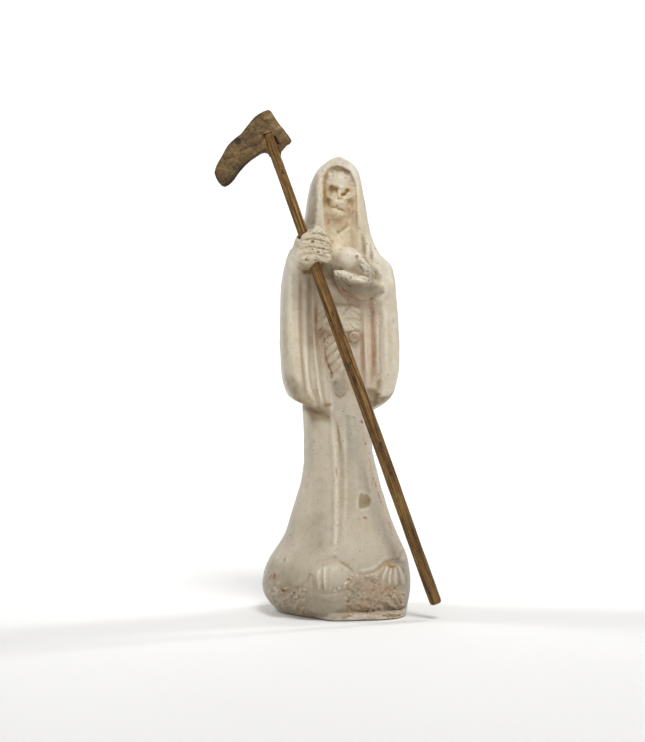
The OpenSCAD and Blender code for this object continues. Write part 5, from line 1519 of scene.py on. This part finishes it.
def make_pole():
    n, m = ((144, 480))
    s = np.concatenate([[LOW, LOW + 0.15, LOW + 0.45, LOW + 0.9], np.linspace(LOW + 1.4, TOP - 0.9, m), [TOP - 0.45, TOP - 0.15, TOP]])
    r0 = np.interp(s, [LOW, LOW + 0.4, LOW + 1.4, LOW + 60, LOW + 120, TOP - 14, TOP - 12, TOP - 0.5, TOP],
                   [2.2, 2.72, 2.9, 2.9, 2.76, 2.32, 2.2, 2.2, 1.7])
    th = np.arange(n) / n * 2 * math.pi
    S, T = np.meshgrid(s, th, indexing="ij")
    tw = 0.16 * np.sin(S / 31.0) + 0.1 * np.sin(S / 12.0 + 1)
    c, d = np.abs(np.cos(T + tw)), np.abs(np.sin(T + tw))
    flat = (c ** 2.7 + d ** 2.7) ** (-1 / 2.7) / 1.093
    flat = flat + (1 - flat) * step(TOP - 16, TOP - 12, S)
    R = r0[:, None] * (0.012 + 0.988 * flat)
    A, B = np.cos(T), np.sin(T)
    P = np.stack([A * 3, B * 3, S * 0.35 + 60], -1).reshape(-1, 3)
    lump = noise_at(P, 2.6, 61).reshape(S.shape)
    P2 = np.stack([A * 9, B * 9, S * 0.3 + 60], -1).reshape(-1, 3)
    grain = noise_at(P2, 1.6, 62).reshape(S.shape)
    P3 = np.stack([A * 11, B * 11, S * 0.1 + 60], -1).reshape(-1, 3)
    thin = noise_at(P3, 1.5, 63).reshape(S.shape)
    P4 = np.stack([A * 9 + 30, B * 9, S * 0.06 + 60], -1).reshape(-1, 3)
    vein = noise_at(P4, 1.5, 65).reshape(S.shape)
    R = R * (0.985 - 0.022 * (lump + 0.6)) - 0.05 * np.clip(grain, 0, 1) - 0.13 * step(0.35, 0.8, thin) - 0.1 * step(0.4, 0.8, vein)
    tint = np.ones(S.shape)
    tint = tint * (1 - 0.5 * step(0.3, 0.8, thin)) * (1 + 0.16 * lump) * (1 - 0.2 * step(0.2, 0.8, grain))
    tint = tint * (1 - 0.42 * step(0.3, 0.75, vein)) * (1 + 0.12 * step(0.2, 0.8, -vein))
    warm = np.ones(S.shape)
    # knots and scars
    for px, py, rr, deep in ((348.2, 366, 1.7, 0.2), (350.4, 363.4, 1.0, 0.14), (355.2, 381.6, 1.7, 0.26), (354.2, 378.8, 1.1, 0.16), (380.6, 445, 1.6, 0.2), (390.5, 474, 1.2, 0.15), (282.6, 172, 1.1, 0.1), (333, 314.6, 1.0, 0.12), (330.6, 320, 0.8, 0.12)):
        a, q = pole_at(px, py)
        u = A * R - a
        dist = np.sqrt((u * 1.1) ** 2 + ((S - q) * 0.55) ** 2 + (np.minimum(B + 0.5, 0) * 0 + np.where(B > 0, 6, 0)) ** 2)
        g_ = np.exp(-(dist / (rr * 0.43)) ** 2)
        R = R - deep * g_ + 0.1 * np.exp(-((dist - rr * 0.62) / (rr * 0.25)) ** 2)
        tint = tint * (1 - 0.88 * g_)
    # the tip is rubbed and pale, and the lower end is darker
    tint = tint * np.interp(S, [LOW, LOW + 40, -20, 20, TOP - 14, TOP], [0.82, 0.9, 1.1, 1.04, 1.06, 1.2])
    # darker along the pole's four corners: the wood's dark edges, with painted shade
    tint = tint * (1 - 0.22 * step(0.55, 0.95, np.maximum(c, d) < 0.0)) * (1 - 0.16 * np.exp(-((c - d) / 0.16) ** 2))
    pit = noise_at(np.stack([A * 5 + 20, B * 5, S * 1.4 + 60], -1).reshape(-1, 3), 1.3, 64).reshape(S.shape) * step(TOP - 14, TOP - 6, S)
    R = R - 0.16 * np.clip(pit, 0, 1)
    tint = tint * (1 - 0.3 * step(0.25, 0.8, pit))
    R = np.minimum(R, r0[:, None])
    wander = np.stack([0.05 * np.sin(s / 17.0), 0.05 * np.sin(s / 23.0 + 2)], -1) * np.interp(s, [TOP - 20, TOP - 12], [1, 0])[:, None]
    X, Y = A * R + wander[:, :1], B * R + wander[:, 1:]
    pts = np.stack([X, Y, S], -1).reshape(-1, 3)
    k = len(s)
    ends = np.array([[0, 0, LOW - 0.02], [0, 0, TOP + 0.04]])
    loc = np.vstack([pts, ends])
    i, j = np.meshgrid(np.arange(k - 1), np.arange(n), indexing="ij")
    a = i * n + j
    b = i * n + (j + 1) % n
    quad = np.stack([a, b, b + n, a + n], -1).reshape(-1, 4)
    j = np.arange(n)
    lo = np.stack([np.full(n, k * n), (j + 1) % n, j], -1)
    hi = np.stack([np.full(n, k * n + 1), (k - 1) * n + j, (k - 1) * n + (j + 1) % n], -1)
    tri = np.vstack([lo, hi])
    world = FIST + loc[:, :1] * LX + loc[:, 1:2] * LY + loc[:, 2:] * LZ
    tint = np.concatenate([tint.ravel(), [0.8, 0.9]])
    col = np.clip(tint, 0.2, 1.4)[:, None] * np.array([1.0, 1.0, 1.0])
    o = mesh_object("shape_scythe_pole", world, tri, quad, col, loc)
    o.data.materials.append(POLE_MAT)
    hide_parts("scythe_pole")
    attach(o, "scythe_pole")
    return o


TIP = FIST + TOP * LZ
BP, BQ = -LX, LZ                       # the blade's reach, and the pole's direction


def blade_at(px, py, y=-28.8):
    v = at(px, py, y) - TIP
    return float(v @ BP), float(v @ BQ)


def stroke(P, Q, pts, w, amt, flat=0.0):
    """A soft stroke on the blade's face, given in drawing units."""
    p = smooth_line([blade_at(*t) for t in pts]) if len(pts) > 2 else np.array([blade_at(*t) for t in pts])
    best = np.full(P.shape, 99.0)
    for k in range(len(p) - 1):
        a, b = p[k], p[k + 1]
        d = b - a
        t = np.clip(((P - a[0]) * d[0] + (Q - a[1]) * d[1]) / max(d @ d, 1e-9), 0, 1)
        best = np.minimum(best, np.hypot(P - a[0] - t * d[0], Q - a[1] - t * d[1]))
    return amt * np.exp(-(np.maximum(best - flat, 0) / w) ** 2)


def make_blade():
    h = 0.24 * COARSE
    lo, hi = np.array([-9.5, -4.2, -17.0]), np.array([30.5, 6.4, 12.5])     # reach, depth, along the pole
    g = Grid(lo, hi, h)
    P, Q = (a.astype(float) for a in np.meshgrid(g.ax[0], g.ax[2], indexing="ij"))
    edge = [blade_at(px, py, -27.0) for px, py in (
        (268.3, 109.6), (271.0, 111.0), (277.7, 120.2), (285.6, 131.1), (290.2, 137.3), (291.9, 140.8), (291.0, 142.8), (287.4, 144.6), (284.4, 148.2),
        (281.7, 151.6), (281.2, 155.8), (270.2, 156.6), (268.4, 153.4), (265.0, 152.4), (261.4, 153.3), (257.1, 155.7), (253.5, 158.4), (249.8, 161.3),
        (245.6, 165.0), (241.9, 169.2), (239.1, 172.9), (236.1, 177.1), (232.8, 181.2), (229.2, 184.3), (225.3, 186.2), (222.1, 185.2),
        (219.2, 181.9), (216.2, 177.2), (214.4, 172.3), (215.6, 167.3), (217.7, 162.5), (220.6, 157.5), (224.2, 151.5), (227.5, 146.0),
        (232.1, 140.9), (236.9, 136.0), (241.2, 132.4), (246.0, 127.5), (250.9, 122.4), (255.1, 117.8), (259.3, 114.2), (264.2, 111.1))]
    p = np.array(edge)
    best = np.full(P.shape, 1e9)
    inside = np.zeros(P.shape, bool)
    for k in range(len(p)):
        a, b = p[k], p[(k + 1) % len(p)]
        d = b - a
        t = np.clip(((P - a[0]) * d[0] + (Q - a[1]) * d[1]) / max(d @ d, 1e-9), 0, 1)
        best = np.minimum(best, np.hypot(P - a[0] - t * d[0], Q - a[1] - t * d[1]))
        if a[1] != b[1]:
            inside ^= ((a[1] > Q) != (b[1] > Q)) & (P < (b[0] - a[0]) * (Q - a[1]) / (b[1] - a[1]) + a[0])
    flat = np.where(inside, -best, best)
    d2 = flat[:, None, :].astype(F)
    front = np.interp(g.ax[0], [-9, 6, 30], [-1.8, -1.7, 0.1])[:, None, None].astype(F)
    back = np.interp(g.ax[0], [-9, 6, 30], [4.2, 4.1, 2.9])[:, None, None].astype(F)
    # carved relief of the front face
    rel = np.zeros(P.shape)
    for pts, w, amt in (([(242, 137), (247, 143), (252, 145.6), (256.4, 145.2)], 0.5, -0.45), ([(245, 147), (250, 152), (253.6, 157)], 0.45, -0.25),
                        ([(226, 158), (232, 151), (239, 146), (246, 141)], 0.6, 0.22), ([(229, 164), (236, 160), (241, 153)], 0.6, -0.2),
                        ([(252, 121), (254, 128), (252, 134)], 0.45, -0.18), ([(262, 127), (266, 133)], 0.4, -0.22), ([(267, 119), (271, 124), (276, 130)], 0.6, 0.2),
                        ([(281.5, 126.5), (285.6, 132), (288.4, 137)], 0.35, -0.3), ([(279.6, 128), (284, 134), (286.6, 139)], 0.5, 0.25),
                        ([(277.4, 146), (281.6, 143.4), (286, 141.4)], 0.6, -0.4), ([(232, 171), (238, 165), (245, 160), (252, 155)], 0.9, -0.5),
                        ([(216, 176), (222, 181), (229, 178)], 0.9, -0.3), ([(222, 168), (226, 160), (229, 153)], 0.7, 0.22), ([(259, 118), (264, 121), (268, 126)], 0.5, -0.15)):
        rel += stroke(P, Q, pts, w, amt)
    for px, py, r, amt in ((238, 140.5, 1.25, -0.9), (238, 140.5, 2.0, 0.3), (256, 145, 0.8, -0.4), (264.6, 136.4, 0.7, -0.8), (255, 125.6, 0.5, -0.35),
                           (262, 120.6, 0.6, -0.3), (247.6, 142.2, 0.8, -0.25), (268, 128.6, 0.7, -0.25), (224, 175, 1.2, -0.4), (234, 162.6, 0.8, -0.3), (217.6, 166, 0.8, -0.25)):
        a, q = blade_at(px, py)
        rel += amt * np.exp(-(np.hypot(P - a, Q - q) / r) ** 2)
    # the face dips round the pole's tip
    rel += stroke(P, Q, [(268.6, 133.4), (278.2, 160.0)], 1.3, -0.8, 1.9)
    rel += stroke(P, Q, [(268.4, 134.6), (272.6, 133.0), (277.6, 134.0)], 0.45, 0.3)
    lump = noise((g.ax[0], g.ax[1], g.ax[2] + 60), 5.5, 71) * F(0.3) + noise((g.ax[0], g.ax[1], g.ax[2] + 60), 2.2, 72) * F(0.12)
    # grain runs along the reach
    gr = noise((g.ax[0] * F(0.16), g.ax[1] * F(1.3), g.ax[2] * F(1.3) + 60), 1.3, 73) * F(0.09)
    d = smax(d2, g.y - back, 1.3)
    d = smax(d, front - g.y, 1.7)
    near_front = np.clip((F(1.2) - (g.y - front)) / F(2), 0, 1)
    d = d - lump - gr - rel[:, None, :].astype(F) * near_front
    # the seat of the pole's tip, and the gap beside it
    u = np.sqrt(g.x ** 2 + g.y ** 2)
    seat = np.maximum(u - F(2.22), np.maximum(g.z - F(0.12), F(-22) - g.z))
    d = smax(d, -seat, 0.12)
    a, q = blade_at(274.9, 136.9)
    b, r = blade_at(277.8, 142.8)
    slit = bar(g, (a, -1.0, q), (b, -1.0, r), 0.5, 0.6)
    d = smax(d, -slit, 0.2)
    for ax in range(3):
        for e in (0, -1):
            sl = [slice(None)] * 3
            sl[ax] = e
            d[tuple(sl)] = np.maximum(d[tuple(sl)], F(0.5) * g.h)
    pts, tri, quad = polygons(g, d)
    lab = largest(pts, tri, quad)
    big = np.argmax(np.bincount(lab))
    keep = lab == big
    tri, quad = np.asarray(tri).reshape(-1, 3), np.asarray(quad).reshape(-1, 4)
    tri, quad = tri[keep[tri[:, 0]]], quad[keep[quad[:, 0]]]
    idx = np.cumsum(keep) - 1
    pts, tri, quad = pts[keep], idx[tri], idx[quad]
    fine = sample(g, blur(np.clip(d, -3, 3), max(1, round(0.6 / g.h))), pts) - sample(g, d, pts)
    world = TIP + pts[:, :1] * BP + pts[:, 1:2] * LY + pts[:, 2:] * BQ
    tint = np.interp(pts[:, 0], [-8, 4, 14, 28], [1.08, 1.0, 0.98, 0.84])
    tint = tint * (1 + 0.12 * noise_at(pts + [0, 0, 60], 4.5, 74)) * (1 + 0.1 * noise_at(pts + [0, 0, 60], 1.3, 75))
    spots = noise_at(pts + [20, 0, 60], 1.1, 76)
    tint = tint * (1 - 0.34 * step(0.45, 0.75, spots))
    tint = tint * (1 - 0.5 * step(0.05, 0.3, -fine)) * (1 + 0.1 * step(0.05, 0.3, fine))
    e = np.interp(sample(g, np.broadcast_to(d2, g.shape), pts), [-0.9, -0.25], [0, 1])
    tint = tint * (1 - 0.42 * e)
    for pts_, w_, k_ in (([(242.6, 138.4), (246.6, 143.6), (251.4, 146.0), (256.4, 145.4)], 0.34, 0.5), ([(245.6, 148.4), (250.6, 153.6), (254.4, 158)], 0.3, 0.3),
                         ([(241.6, 167.4), (246.6, 162.4), (252.6, 157.4), (259.4, 153.4)], 0.7, 0.45), ([(226.4, 184), (231.4, 181), (236.4, 174.6), (241, 168.6)], 0.8, 0.4),
                         ([(279.4, 127.4), (284.4, 134.0), (288.6, 139.6)], 0.35, -0.3), ([(281.4, 127.4), (286.6, 134.0), (290.2, 139.6)], 0.3, 0.4),
                         ([(253.4, 127.0), (256.4, 125.4), (258.6, 126.6)], 0.3, 0.45), ([(247, 129), (251, 133), (249.4, 138)], 0.3, 0.25),
                         ([(227, 158), (233.4, 156.6), (239.4, 158.6), (243.4, 163.6)], 0.3, 0.25), ([(231.6, 150), (236.4, 147.6), (240.4, 149.6)], 0.3, 0.25),
                         ([(221.4, 160.6), (224.6, 163), (222.4, 166.6)], 0.3, 0.3), ([(262, 117.6), (265.4, 122.4), (271, 123.4)], 0.3, 0.3),
                         ([(281, 144.4), (285, 142.6), (288.4, 143.4)], 0.6, 0.3), ([(263.4, 136.2), (266, 133.6), (270.6, 132.8)], 0.3, 0.4), ([(274.9, 136.6), (276.6, 140.0), (278.6, 143.2)], 0.5, 0.85), ([(263.6, 135.0), (264.6, 136.6)], 0.35, 0.7),
                         ([(249, 118.4), (251.4, 123), (256, 124.4)], 0.25, 0.3), ([(236.4, 138.4), (232, 143.4), (233.4, 146)], 0.25, 0.3), ([(256.4, 135.4), (259.4, 139.4), (258.4, 144)], 0.3, 0.3),
                         ([(228.6, 168.4), (232.6, 166), (237.6, 168.6)], 0.3, 0.3), ([(243.6, 153.6), (248, 156.2), (247.4, 161)], 0.3, 0.25), ([(268.4, 128.6), (272.6, 131.6), (279, 131)], 0.25, 0.25)):
        tint = tint * (1 - stroke(pts[:, 0], pts[:, 2], pts_, w_, k_))
    a, q = blade_at(238, 140.8)
    far = np.hypot(pts[:, 0] - a, pts[:, 2] - q)
    tint = tint * (1 - 0.6 * np.exp(-((far - 1.15) / 0.34) ** 2)) * (1 - 0.35 * step(1.3, 0.9, far))
    for px, py, rr, k in ((240, 165, 2.6, 0.3), (229, 180.5, 2.4, 0.35), (233, 172, 3.2, 0.25), (220, 170.5, 2.6, -0.25), (270.5, 116, 3.0, -0.2), (236.5, 150, 2.6, -0.15), (251, 140, 4.0, 0.18),
                          (238, 140.5, 1.5, 0.6), (256.4, 145.2, 0.8, 0.5), (264.4, 136.2, 0.6, 0.6), (281, 144.6, 1.6, 0.25), (224, 178, 2.6, 0.25), (262, 122, 1.8, 0.2), (238, 170, 3.4, 0.2)):
        a, q = blade_at(px, py)
        tint = tint * (1 - k * np.exp(-(np.hypot(pts[:, 0] - a, pts[:, 2] - q) / rr) ** 2))
    col = np.clip(tint, 0.15, 1.5)[:, None] * np.array([1.0, 1.0, 1.0])
    tri, quad = tri, quad
    o = mesh_object("shape_scythe_blade", world, tri, quad, col, pts[:, [1, 2, 0]])
    o.data.materials.append(BLADE_MAT)
    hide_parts("scythe_blade")
    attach(o, "scythe_blade")
    return o


make_pole()
make_blade()

# the hidden armature and ballast keep their CAD shapes
for name, mat in (("armature_post", POST_MAT), ("ballast", CAST_MAT)):
    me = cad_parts[name].data
    me.materials.clear()
    me.materials.append(mat)

# ---------------------------------------------------------------- floor, light and camera
m, nt, sh = new_material("pale_floor")
co = node(nt, "TexCoord").outputs["Object"]
n1 = node(nt, "TexNoise", Scale=6.0, Detail=4.0)
nt.links.new(co, n1.inputs["Vector"])
nt.links.new(ramp(nt, n1.outputs["Fac"], [(0.3, (0.93, 0.93, 0.925)), (0.7, (0.955, 0.955, 0.95))]), sh.inputs["Base Color"])
sh.inputs["Roughness"].default_value = 0.9
sh.inputs["Specular IOR Level"].default_value = 0.1
prof = [(-4.0, 0.0), (1.6, 0.0)] + [(1.6 + 0.9 * math.sin(t), 0.9 - 0.9 * math.cos(t)) for t in np.linspace(0.1, math.pi / 2, 16)] + [(2.5, 4.0)]
vs = [(x, y, z - 0.0003) for x in (-4.0, 4.0) for y, z in prof]
k = len(prof)
me = bpy.data.meshes.new("floor")
me.from_pydata(vs, [], [(i, i + k, i + k + 1, i + 1) for i in range(k - 1)])
me.polygons.foreach_set("use_smooth", np.ones(k - 1, bool))
me.materials.append(m)
floor = bpy.data.objects.new("floor", me)
bpy.context.scene.collection.objects.link(floor)


def area_light(name, place, target, size, power, colour):
    l = bpy.data.lights.new(name, "AREA")
    l.shape = "DISK"
    l.size, l.energy, l.color = size, power, colour
    o = bpy.data.objects.new(name, l)
    o.location = place
    o.rotation_mode = "QUATERNION"
    o.rotation_quaternion = (Vector(target) - Vector(place)).to_track_quat("-Z", "Y")
    bpy.context.scene.collection.objects.link(o)
    return o


area_light("key", (0.12, -0.62, 1.05), (0, 0, 0.12), 0.42, 6.6, (1.0, 0.99, 0.975))
area_light("front", (-0.1, -1.3, 0.5), (0, 0, 0.12), 0.6, 2.4, (1.0, 0.99, 0.98))
area_light("sweep_left", (-1.1, 0.35, 1.0), (-0.4, 2.2, 0.5), 0.9, 26.0, (1.0, 1.0, 1.0))
area_light("sweep_right", (1.1, 0.35, 1.0), (0.4, 2.2, 0.5), 0.9, 26.0, (1.0, 1.0, 1.0))

w = bpy.data.worlds.new("studio")
w.use_nodes = True
bg = w.node_tree.nodes["Background"]
bg.inputs["Color"].default_value = (1.0, 1.0, 1.0, 1)
bg.inputs["Strength"].default_value = 0.26
bpy.context.scene.world = w
bpy.context.scene.view_settings.view_transform = "Standard"

cam = bpy.data.cameras.new("camera")
cam.lens, cam.sensor_width, cam.sensor_fit = 65.86, 36.0, "AUTO"
cam.clip_start, cam.clip_end = 0.02, 20.0
co = bpy.data.objects.new("camera", cam)
co.location = (-0.08984, -0.59327, 0.1056)
co.rotation_euler = (math.radians(90), 0, math.radians(-8))
bpy.context.scene.collection.objects.link(co)
bpy.context.scene.camera = co
